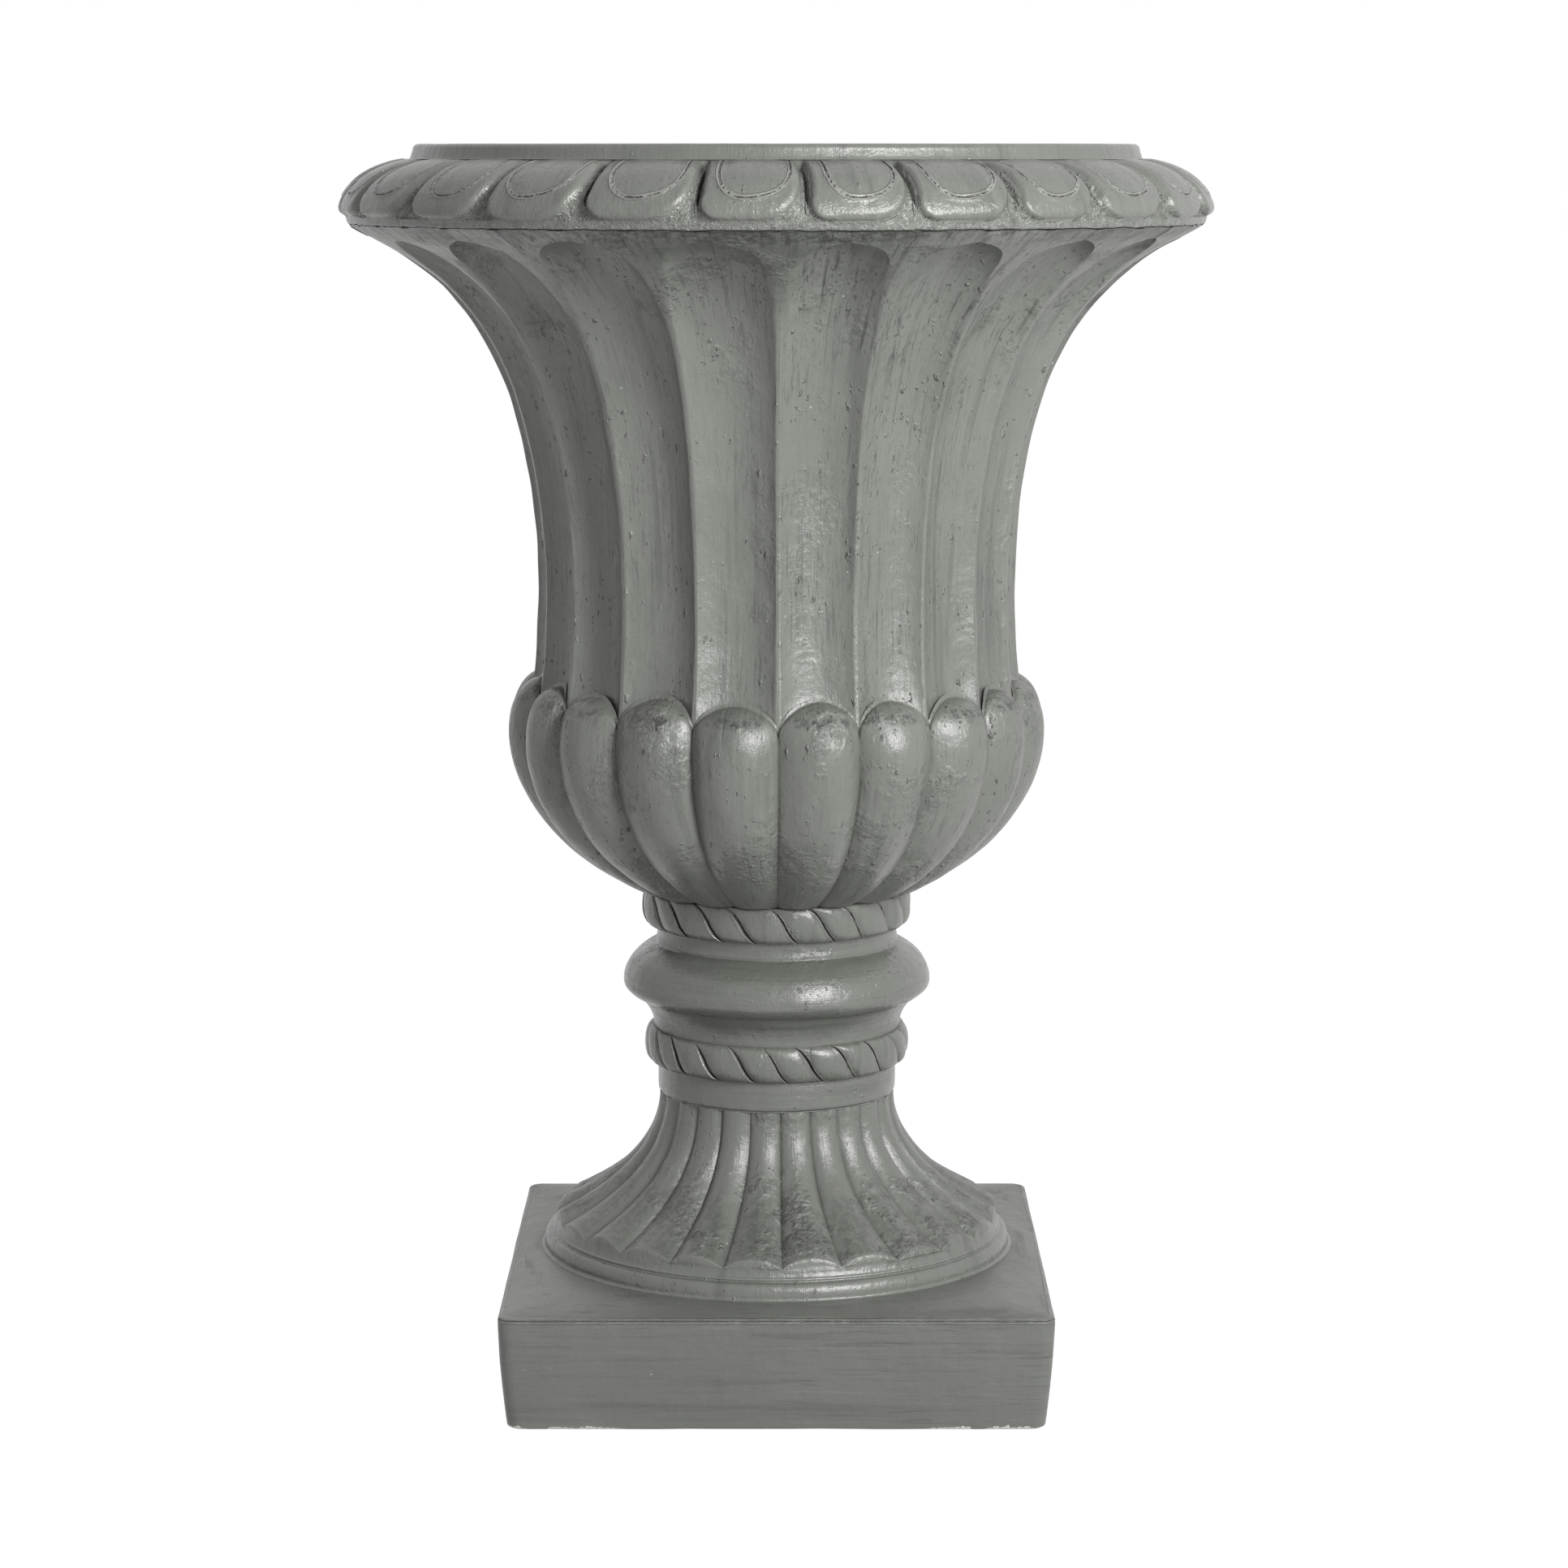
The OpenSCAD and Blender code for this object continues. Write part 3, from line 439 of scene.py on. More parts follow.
def stem_piece():
    rows = Rows(np.arange(0, 360, 1.25))
    socket = STEM_SPIGOT_R + CLEAR
    rows.path((socket, STEM_Z0), (BAND_R - 1.2, STEM_Z0))
    corner(rows, (BAND_R - 1.2, STEM_Z0), (BAND_R, STEM_Z0 + 1.2), 3, (0.2, 0.8))
    for z in np.linspace(STEM_Z0 + 1.6, ROPE_LOW_Z0 - 0.4, 14):
        rows.ring(BAND_R + 0.25 * np.sin((z - STEM_Z0) / BAND_H * math.pi), z, 0.8)
    rows.path((BAND_R - 0.3, ROPE_LOW_Z0, 0.6), (ROPE_SEAT_R, ROPE_LOW_Z0), (ROPE_SEAT_R, ROPE_LOW_Z1))
    for t in np.linspace(0, 1, 18):
        r, z = mix(CAVETTO_LOW_R, CAVETTO_TOP_R, t**2.1), mix(ROPE_LOW_Z1, KNOP_Z0 - 0.4, t)
        rows.ring(r, z, 0.6, worn=0.2 + 0.6 * t**4)
    # The knop is part of an oval whose middle runs round at this radius
    core = FILLET_R - 12
    full = KNOP_R - core
    low = math.acos((KNOP_START_R - core) / full)
    for t in np.linspace(1, 0, 22)[:-1]:
        z = KNOP_Z - KNOP_BELOW * math.sin(low * t) / math.sin(low)
        rows.ring(core + full * math.cos(low * t), z, 0.9, worn=0.15)
    high = math.acos((FILLET_R + 1.2 - core) / full)
    for t in np.linspace(0, 1, 36):
        z = KNOP_Z + KNOP_ABOVE * math.sin(high * t) / math.sin(high)
        rows.ring(core + full * math.cos(high * t), z, 0.9, worn=0.15 + 0.4 * smooth(0.8, 1.0, t))
    for t in np.linspace(0, 1, 16)[1:]:
        bead = 0.7 * bump(t, 0.2, 0.2)
        r = FILLET_R + 0.2 + bead - 0.4 * math.sin(t * math.pi)
        rows.ring(r, mix(FILLET_Z0, ROPE_UP_Z0, t), 0.7, worn=0.3)
    rows.path((ROPE_SEAT_R, ROPE_UP_Z0), (ROPE_SEAT_R, STEM_Z1), (socket, STEM_Z1),
              (socket, BOWL_Z0 - SOCKET_H), (CORE_R, BOWL_Z0 - SOCKET_H),
              (CORE_R, FOOT_Z1 + SOCKET_H), (socket, FOOT_Z1 + SOCKET_H))
    return build("stem_casting", rows, 0.5, 31)


# Rope mouldings

def rope_piece(name, strands, radius, top_r, z0, z1, phase, seed):
    rng = np.random.default_rng(seed)
    angle, s, strand = pitch_columns(strands, shares(26))
    fat = rng.uniform(-0.7, 0.5, strands)
    depth = rng.uniform(0.9, 2.8, strands)
    fading = rng.uniform(0.3, 1.0, strands)
    shift = rng.uniform(-0.13, 0.13, strands)
    lean = rng.uniform(-0.98, -0.78, strands)
    lip = rng.uniform(0.1, 0.9, strands)
    seat = ROPE_SEAT_R + 0.5
    middle, half = (z0 + z1) / 2, (z1 - z0) / 2
    pitch = 2 * math.pi * radius / strands
    gap = np.where(s < 0.5, s, s - 1) * pitch
    nearest = np.where(s < 0.5, strand, (strand + 1) % strands)
    pillow = 2.4 * np.sqrt(clamp01(1 - (2 * s - 1) ** 2)) - 1.6 + across(fat, strand, smooth(0.2, 0.8, s))
    rows = Rows(angle)

    def turned(f):
        return angle + (across(shift + lean * f / math.pi, strand, s) + phase) * 360 / strands

    for f in np.radians(np.linspace(-90, 90, 33)):
        # A thin cut with a raised lip on its left and the strand's round flank on its right
        fade = 1 - fading[nearest] * smooth(-0.1, 1.1, f)
        cut = np.where(gap < 0, np.exp(-((gap / 0.9) ** 2)), np.exp(-((np.abs(gap) / 2.6) ** 1.15)))
        cut = cut * depth[nearest] * fade
        ridge = lip[nearest] * bump(gap, -2.0, 1.0)
        sweep = max(math.cos(f), 0.0)
        edge_r = top_r if f > 0 else seat + 4.0
        bead = edge_r + (radius - edge_r) * sweep ** (0.9 if f > 0 else 0.5)
        r = bead + (pillow + ridge - cut) * sweep ** (1.0 if f > 0 else 0.6)
        z = middle + half * math.copysign(abs(math.sin(f)) ** 0.92, f)
        worn = 0.25 + 0.5 * smooth(0.3, 1.3, abs(f))
        line = np.where(fade > 0.4, -np.abs(gap), NO_LINE)
        rows.ring(np.maximum(r, seat + 0.5), z, 0.6 * sweep, turned(f), worn, line)
    for f in (math.pi / 2, 0, -math.pi / 2):
        rows.ring(seat, middle + half * math.sin(f), 0, turned(f))
    return build(name, rows, 0.6, seed, brush_r=85)


# Bell

BELL_BASE_R, BELL_WAIST_R, BELL_LIP_R = 160.0, 155.1, 273.2
BELL_WALL = 17
WAIST_Z = BELL_Z0 + 70
FLUTE_DEPTH, FLUTE_HEAD_DEPTH = 9.0, 13.5
# Levels between which the flutes close in their heads
HEAD_START, HEAD_END = 0.7, 0.885
# Share of a pitch that an arris takes on each side of a flute
ARRIS = 0.024


def arris_line(k):
    """The bell's outline over the arrises: k is -1 at the seat, 0 at the waist and 1 under the rim."""
    k = np.asarray(k, float)
    below = np.stack([mix(BELL_WAIST_R, BELL_BASE_R, k * k), mix(WAIST_Z, BELL_Z0, -k)], -1)
    above = bezier(
        (BELL_WAIST_R, WAIST_Z),
        (BELL_WAIST_R, mix(WAIST_Z, BELL_Z1, 0.838)),
        (mix(BELL_LIP_R, BELL_WAIST_R, 0.221), mix(BELL_Z1, WAIST_Z, 0.078)),
        (BELL_LIP_R, BELL_Z1),
        np.maximum(k, 0),
    )
    return np.where((k <= 0)[..., None], below, above)


def arris_normal(k):
    step = arris_line(np.minimum(1, k + 0.01)) - arris_line(k - 0.01)
    normal = np.stack([step[..., 1], -step[..., 0]], -1)
    normal /= np.linalg.norm(normal, axis=-1)[..., None]
    return np.where((np.asarray(k) <= 0)[..., None], (1.0, 0.0), normal)


def head_share(k):
    """1 below a flute's head, and almost 0 at its end."""
    t = np.clip((k - HEAD_START) / (HEAD_END - HEAD_START), 0, 1)
    return np.sqrt(np.maximum(0.0009, 1 - t**2))


def flute_shift(s, flute):
    """Degrees that the hand-cut flutes and gadroons lie off an even spacing, the same in bell and bowl."""
    rng = np.random.default_rng(5)
    shift = rng.uniform(-0.7, 0.7, FLUTES)
    shift[-3:-1] -= (1.6, 2.0)
    return across(shift, flute, s)


def bell_surface(k, s, soft=0.8, skew=0.0):
    """Radius and height of the bell's outside at level k and share s of a flute."""
    k = np.broadcast_to(np.asarray(k, float), s.shape)
    land = 0.95
    v = np.minimum(np.abs(skewed(s, skew)) / land, 1)
    cut = mix(1 - v**2, arch(v), 0.55)
    depth = mix(FLUTE_DEPTH, FLUTE_HEAD_DEPTH, clamp01(k)) * head_share(k) ** soft
    depth = np.where(k >= HEAD_END, 0, depth) * (1 - 0.45 * smooth(-0.72, -1.0, k))
    return arris_line(k) - (depth * cut)[:, None] * arris_normal(k)


def bell_piece():
    middle = ARRIS + (1 - 2 * ARRIS) * shares(24)[1:]
    share = np.concatenate([[0, 0.011, ARRIS], middle, [1 - ARRIS, 0.989]])
    angle, s, flute = pitch_columns(FLUTES, share)
    rng = np.random.default_rng(20)
    head_shift = rng.uniform(-0.010, 0.006, FLUTES)[flute]
    soft = rng.uniform(0.8, 1.2, FLUTES)
    # Some heads were cut steeper than others
    soft = (np.where(np.arange(FLUTES) < FLUTES / 2, 0.75, 2.1) * soft)[flute]
    skew = rng.uniform(-0.16, 0.06, FLUTES)[flute]
    shift = flute_shift(s, flute)
    rows = Rows(angle)
    rows.path((BELL_BORE_R, BELL_Z0 - SPIGOT_H), (BELL_SPIGOT_R, BELL_Z0 - SPIGOT_H),
              (BELL_SPIGOT_R, BELL_Z0))
    inside = (s > 0.02) & (s < 0.98)
    levels = np.concatenate([
        np.linspace(-1, 0, 22),
        np.linspace(0, HEAD_START, 68)[1:],
        HEAD_START + (HEAD_END - HEAD_START) * np.sin(np.linspace(0, math.pi / 2, 26)[1:]),
        np.linspace(HEAD_END, 1, 8)[1:],
    ])
    for k in levels:
        kk = k + head_shift * (smooth(0.3, 0.7, k) - smooth(HEAD_END, 1.0, k))
        # The flutes narrow upwards, and each closes in its head
        closing = head_share(np.minimum(kk, HEAD_END)) ** 1.35
        narrow = 1 - 0.22 * smooth(0.40, 0.80, k)
        drift = np.where(inside, (s - 0.5) * (1 - closing * narrow) * FLUTE_PITCH, 0)
        point = bell_surface(kk, s, soft, skew * smooth(-1.0, -0.2, k))
        rough = 1.0 if -0.98 < k < 0.985 else 0.1
        worn = 0.15 + 0.55 * smooth(0.2, 0.6, k) + 0.3 * smooth(0.8, 0.97, k)
        rows.ring(point[:, 0], point[:, 1] if k < 1 else BELL_Z1, rough, angle - drift + shift, worn)
    rows.path((RIM_SPIGOT_R + CLEAR, BELL_Z1), (RIM_SPIGOT_R + CLEAR, RIM_Z0 - SOCKET_H),
              (MOUTH_R + 2, RIM_Z0 - SOCKET_H))
    for k in (0.62, 0.6, 0.55, 0.5, 0.45, 0.4, 0.32, 0.25, 0.17, 0.1, 0.0, -0.15, -0.3):
        point = arris_line(k) - BELL_WALL * arris_normal(k)
        rows.ring(min(point[0], MOUTH_R), point[1] + (5 if k > 0.61 else 0), 0.5)
    rows.ring(BELL_BORE_R, BELL_Z0 + SPIGOT_H, 0.3)
    return build("bell_casting", rows, 0.7, 41, brush_r=190)


# Bowl

BOWL_R, BOWL_FOOT_R = 176.0, 90.5
BOWL_WALL = 18
BELLY_Z = BOWL_Z0 + 107
LOBE_DEPTH = 12.0
# How far the gadroons' heads rise over the bell's seat, and the valleys between them fall below it
HEAD_RISE, HEAD_FALL = 15.0, 4.5
HEAD_GAP = 0.25
ROD_HOLE_R = 6.5
DRAIN_X, DRAIN_HOLE_R = 26.0, 9.5


def bowl_piece():
    angle, s, gadroon = pitch_columns(FLUTES, shares(30))
    rng = np.random.default_rng(77)
    rise = rng.uniform(-2.2, 2.0, FLUTES)[gadroon]
    fat = rng.uniform(-1.2, 0.6, FLUTES)[gadroon]
    v = skewed(s, rng.uniform(-0.13, 0.13, FLUTES)[gadroon])
    lobe = mix(arch(v), 1 - v**2, 0.75)
    shifted = angle + flute_shift(s, gadroon)
    belly_h = BELLY_Z - BOWL_Z0
    axis_h = belly_h / math.sqrt(1 - (BOWL_FOOT_R / BOWL_R) ** 2)
    low = math.asin(belly_h / axis_h)
    rows = Rows(angle)
    rows.path((CORE_R, BOWL_Z0 - SPIGOT_H), (STEM_SPIGOT_R, BOWL_Z0 - SPIGOT_H), (STEM_SPIGOT_R, BOWL_Z0),
              (BOWL_FOOT_R - 6, BOWL_Z0))
    for t in np.linspace(0, 1, 58):
        a = mix(low, 0, t)
        r, z = BOWL_R * math.cos(a), BELLY_Z - axis_h * math.sin(a)
        fall = LOBE_DEPTH * mix(0.45, 1, r / BOWL_R) * (1 - lobe) * smooth(-0.15, 0.08, t)
        worn = 0.25 + 0.3 * smooth(0.25, 0.0, t)
        rows.ring(r - fall + fat * lobe * smooth(0.1, 0.5, t), z, 0.9 if t > 0.03 else 0.2, shifted, worn)
    # Heads: each lobe rolls over in a dome that comes back to the bell
    top_z = BOWL_SEAT_Z - HEAD_FALL + (HEAD_RISE + HEAD_FALL + rise) * clamp01(1 - v**2) ** 0.55
    level = -clamp01((WAIST_Z - np.maximum(top_z, BELL_Z0)) / 65)
    socket = bell_surface(level, s)[:, 0] + HEAD_GAP
    side = BOWL_R - LOBE_DEPTH * (1 - lobe) + fat * lobe
    for t in np.linspace(0, 1, 46)[1:]:
        up = math.sin(t * math.pi / 2)
        dome = math.sqrt(max(0.0, 1 - up**2.1))
        z = mix(BELLY_Z, top_z, up)
        worn = 0.25 + 0.75 * bump(z - BOWL_SEAT_Z, 5.0, 6.0) * smooth(0.2, 0.7, lobe)
        rows.ring(mix(socket + 1.6, side, dome), z - 0.5 * t**6, 0.9 * (1 - t), shifted, worn)
    for out, up in ((1.0, 0.1), (0.6, 0.9), (0.3, 2.0), (0.1, 2.4)):
        rows.ring(socket + out, top_z + up, 0, shifted, 0.2)
    # Between the heads a thin skin covers the joint to the bell
    rows.ring(socket + 0.05, np.maximum(top_z + 2.6, BELL_Z0 + 0.8), 0, shifted, 0.2)
    rows.ring(bell_surface(-1.0, s)[:, 0] + 0.3, BOWL_SEAT_Z, 0, shifted)
    rows.path((BELL_SPIGOT_R + CLEAR, BOWL_SEAT_Z), (BELL_SPIGOT_R + CLEAR, BELL_Z0 - SOCKET_H),
              (BELL_BORE_R, BELL_Z0 - SOCKET_H), (BELL_BORE_R, BELLY_Z + 6))
    inner_r, inner_h = BOWL_R - LOBE_DEPTH - BOWL_WALL, BELLY_Z - FLOOR_Z
    for a in np.radians(np.linspace(0, 64, 16)):
        rows.ring(inner_r * math.cos(a), BELLY_Z - inner_h * math.sin(a), 0.5)
    rows.path((0.42 * inner_r, FLOOR_Z), (CORE_R, FLOOR_Z))
    return build("bowl_casting", rows, 0.6, 51, brush_r=150)


def bowl_floor_piece():
    """The middle of the bowl's floor, with the holes for the tie rod and the drain."""
    rows = Rows(np.arange(0, 360, 2.8125))
    radii = (ROD_HOLE_R, 12, CORE_R + 0.2)
    for r in radii:
        rows.ring(r, BOWL_Z0)
    for r in reversed(radii):
        rows.ring(r, FLOOR_Z)
    piece = build("bowl_floor", rows, 0, 61, brush_r=30)
    bpy.ops.mesh.primitive_cylinder_add(vertices=64, radius=DRAIN_HOLE_R * MM, depth=0.06,
                                        location=(DRAIN_X * MM, 0, (BOWL_Z0 + FLOOR_Z) / 2 * MM))
    cutter = bpy.context.object
    hole = piece.modifiers.new("drain", "BOOLEAN")
    hole.object = cutter
    hole.solver = "EXACT"
    bpy.context.view_layer.objects.active = piece
    bpy.ops.object.modifier_apply(modifier=hole.name)
    bpy.data.objects.remove(cutter)
    return piece


# Rim

RIM_R = 280.5
COLLAR_R = 233.5
ROLL_Z0 = RIM_Z0 + 5.6
ROLL_H = 34.4
COLLAR_Z0 = ROLL_Z0 + ROLL_H
ROLL_CORE_R = COLLAR_R - 7
RELIEF = 5.0
FIRST_SLIT = -9.8
# Slits that were set by hand a little off their even spacing, in degrees
SLIT_SHIFT = {-4: -2.6, -3: -1.2, -2: -1.2, -1: -0.7, 1: -0.4, 2: -0.9, 3: -0.7, 4: -1.4, 5: 0.1}
# Columns across a tongue, closer together at the slit and at the incised line
TONGUE_SHARES = np.concatenate([
    [0, 0.005, 0.012, 0.022, 0.034, 0.047, 0.062, 0.080, 0.100],
    [0.120, 0.140, 0.156, 0.170, 0.183, 0.196, 0.212],
    np.linspace(0.235, 0.795, 12),
    [0.82, 0.835, 0.849, 0.862, 0.876, 0.893, 0.912, 0.93, 0.945, 0.956, 0.965, 0.974, 0.984, 0.996],
])


def corner_distance(dx, dy, width, height, power):
    """Distance inwards from a rounded corner, from the two distances to its sides."""
    left, down = clamp01((width - dx) / width), clamp01((height - dy) / height)
    g = left**power + down**power
    slope = power * np.sqrt((left ** (power - 1) / width) ** 2 + (down ** (power - 1) / height) ** 2) + 1e-6
    return np.where((dx < width) & (dy < height), (1 - g) / slope, 1e3)


def tongue_relief(x, y, width, length, style, slit_deep):
    """Height over the ground and distance to the incised line, in mm, at x across and y up the roll."""
    right = 0.962 * width
    corner_left = corner_distance(x, y, 0.25 * style[0] * width, 0.30 * length, 2.2)
    corner_right = corner_distance(right - x, y, 0.34 * style[1] * width, 0.50 * length, 2.1)
    edge = np.minimum(np.minimum(np.minimum(x, right - x), y + 0.4), np.minimum(corner_left, corner_right))
    # The slit: the left wall slopes up out of a deep narrow leaf, the other edges are pillowed
    share = y / length
    leaf = smooth(0.02, 0.30, share) * (1 - 0.7 * smooth(0.55, 0.98, share)) * slit_deep
    leftness = 1 - smooth(0.10, 0.36, x / width)
    wall = mix(6.0, 1.8 + 4.0 * leaf, leftness)
    e = clamp01(edge / wall)
    round_up = np.sqrt(clamp01(1 - (1 - e) ** 2))
    slope_up = 1 - (1 - e) ** 1.35
    rise = mix(-5.5 * leaf * leftness, RELIEF, mix(round_up, slope_up, leftness * clamp01(leaf)))
    ground = -1.3 * smooth(0, 5, -edge)
    # The dome in the middle lies inside an incised line, lower at its left than at its right
    middle, half_w = 0.515 * width, 0.335 * width * style[2]
    low = (0.225 + 0.05 * (x - middle) / half_w) * length
    high = 0.68 * length
    dx, dy = np.abs(x - middle) / half_w, np.maximum(high - y, 0) / (high - low)
    g = dx**2.5 + dy**2.5
    slope = 2.5 * np.sqrt((dx**1.5 / half_w) ** 2 + (dy**1.5 / (high - low)) ** 2) + 1e-3
    d = np.clip((1 - g) / slope, -20, 40)
    line = -0.25 * bump(d, 0, 0.8)
    lips = 0.70 * bump(d, -1.5, 0.9) + 0.50 * bump(d, 1.5, 0.9)
    dome = 1.2 * (1 - np.exp(-np.maximum(d, 0) / 8))
    inside = edge > 0
    up = np.where(inside, rise + (line + lips + dome) * e, ground)
    return up, np.where(inside & (edge > wall * 0.7), d, NO_LINE)


def rim_lip(rows):
    """The spigot, and the lip that hangs over the bedding joint down to the bell with a ragged edge."""
    lip_r = RIM_R - RELIEF
    angle = np.radians(rows.columns)
    around = np.column_stack([np.sin(angle), np.cos(angle), 0 * angle]) * lip_r
    ragged = 0.3 * waves(around, 14, 3) + 0.2 * waves(around, 5, 4)
    rows.path((MOUTH_R, RIM_Z0 - SPIGOT_H), (RIM_SPIGOT_R, RIM_Z0 - SPIGOT_H), (RIM_SPIGOT_R, RIM_Z0),
              (lip_r - 9, BELL_Z1 + 0.4), (BELL_LIP_R - 0.3, BELL_Z1 + 0.05))
    rows.ring(BELL_LIP_R + 0.2, BELL_Z1 + 0.6 + ragged, 0.1, worn=0.6)
    rows.ring(BELL_LIP_R - 0.2, BELL_Z1 + 0.9 + ragged, 0.1)
    rows.ring(BELL_LIP_R + 0.7, BELL_Z1 + 1.1 + ragged, 0.2, worn=0.9)
    rows.ring(BELL_LIP_R + 1.2, BELL_Z1 + 1.7, 0.4, worn=0.9)
    rows.ring(mix(BELL_LIP_R, lip_r, 0.75), BELL_Z1 + 3.3, 0.5, worn=0.8)
    rows.ring(lip_r, ROLL_Z0 - 1.2, 0.5, worn=0.8)


def rim_piece():
    count = len(TONGUE_SHARES)
    # Slit 0 is near the front, and the slits on its left have numbers below 0
    number = (np.arange(TONGUES) + TONGUES // 2) % TONGUES - TONGUES // 2
    slit = FIRST_SLIT + number * 360 / TONGUES + np.array([SLIT_SHIFT.get(int(k), 0.0) for k in number])
    slit = np.sort(slit)
    span = np.diff(np.append(slit, slit[0] + 360))
    angle = (slit[:, None] + span[:, None] * TONGUE_SHARES).ravel()
    pitch = np.repeat(span, count)
    s = np.tile(TONGUE_SHARES, TONGUES)
    rng = np.random.default_rng(26)
    style = [np.repeat(rng.uniform(low, 2 - low, TONGUES), count) for low in (0.8, 0.85, 0.96)]
    slit_deep = np.repeat(rng.uniform(0.75, 1.15, TONGUES), count)
    bow = np.repeat(rng.uniform(-0.5, 1.0, TONGUES), count)
    rows = Rows(angle)
    rim_lip(rows)
    # The roll's outline, the length along it and its direction outwards
    full = RIM_R - ROLL_CORE_R
    end = math.acos((COLLAR_R - ROLL_CORE_R) / full)
    fine = np.linspace(0, end, 600)
    curve = np.stack([ROLL_CORE_R + full * np.cos(fine), ROLL_Z0 + ROLL_H * np.sin(fine) / math.sin(end)], 1)
    length_to = length_along(curve)
    length = length_to[-1]
    tangent = np.gradient(curve, axis=0)
    out = np.stack([tangent[:, 1], -tangent[:, 0]], 1)
    out /= np.linalg.norm(out, axis=1)[:, None]
    levels = np.concatenate([np.linspace(0, 0.36 * length, 30), np.linspace(0.36 * length, length, 27)[1:]])
    for y in levels:
        r, z = (np.interp(y, length_to, curve[:, k]) for k in (0, 1))
        out_r, out_z = (np.interp(y, length_to, out[:, k]) for k in (0, 1))
        width = np.radians(pitch) * r
        up, line = tongue_relief(s * width, np.full(len(s), y), width, length, style, slit_deep)
        up = mix(up, RELIEF, smooth(0.90, 1.0, y / length))
        worn = np.where(up < 1.0, 1.0, 0.2) * smooth(0.85, 0.6, y / length)
        lean = bow * 0.9 * np.sin(math.pi * y / length) * np.sin(math.pi * s)
        sunk_r, sunk_z = r - (RELIEF - up) * out_r, z - (RELIEF - up) * out_z
        rows.ring(sunk_r, sunk_z, 0.35, angle + lean, worn, -np.abs(line))
    rows.path((COLLAR_R + 0.9, COLLAR_Z0 + 0.3, 0.5), (COLLAR_R + 0.1, COLLAR_Z0 + 1.1, 0.6),
              (COLLAR_R - 0.3, COLLAR_Z0 + 2.6, 0.6), (COLLAR_R - 1.2, RIM_Z1 - 5, 0.6))
    start, end = (COLLAR_R - 1.5, RIM_Z1 - 3.6), (COLLAR_R - 5.5, RIM_Z1 - 0.4)
    corner(rows, start, end, 5, (0.6, 0.3), height_first=True)
    rows.ring(MOUTH_R + 6, RIM_Z1 - 0.3, 0.2)
    corner(rows, (MOUTH_R + 3, RIM_Z1 - 0.4), (MOUTH_R, RIM_Z1 - 3), 3)
    return build("rim_casting", rows, 0.5, 71, brush_r=270)


# Materials

PAINT = (0.184, 0.191, 0.171, 1)
PAINT_LIGHT = (0.285, 0.294, 0.268, 1)
# Pale for the lips of incised lines: partly drybrushed paint, partly a painted highlight
DRY_PAINT_AND_HIGHLIGHT = (0.360, 0.368, 0.340, 1)
PAINT_DARK = (0.100, 0.106, 0.094, 1)
# Darkest colour: scuff strokes and antique finish, and painted shade in creases and groove bottoms
WASH_AND_SHADE = (0.040, 0.044, 0.040, 1)
BASE_WHITE = (0.72, 0.72, 0.69, 1)
BLACK = (0, 0, 0, 1)


class Nodes:
    """Adds and links nodes in one tree."""

    def __init__(self, tree):
        self.tree = tree

    def add(self, kind, inputs=None, **settings):
        node = self.tree.nodes.new(kind)
        for key, value in settings.items():
            setattr(node, key, value)
        for key, value in (inputs or {}).items():
            self.put(node.inputs[key], value)
        return node

    def put(self, socket, value):
        if isinstance(value, bpy.types.NodeSocket):
            self.tree.links.new(value, socket)
        else:
            socket.default_value = value

    def math(self, operation, *values, clamp=False):
        inputs = dict(enumerate(values))
        return self.add("ShaderNodeMath", inputs, operation=operation, use_clamp=clamp).outputs[0]

    def times(self, a, b, clamp=False):
        return self.math("MULTIPLY", a, b, clamp=clamp)

    def times_plus(self, a, b, c):
        return self.math("MULTIPLY_ADD", a, b, c)


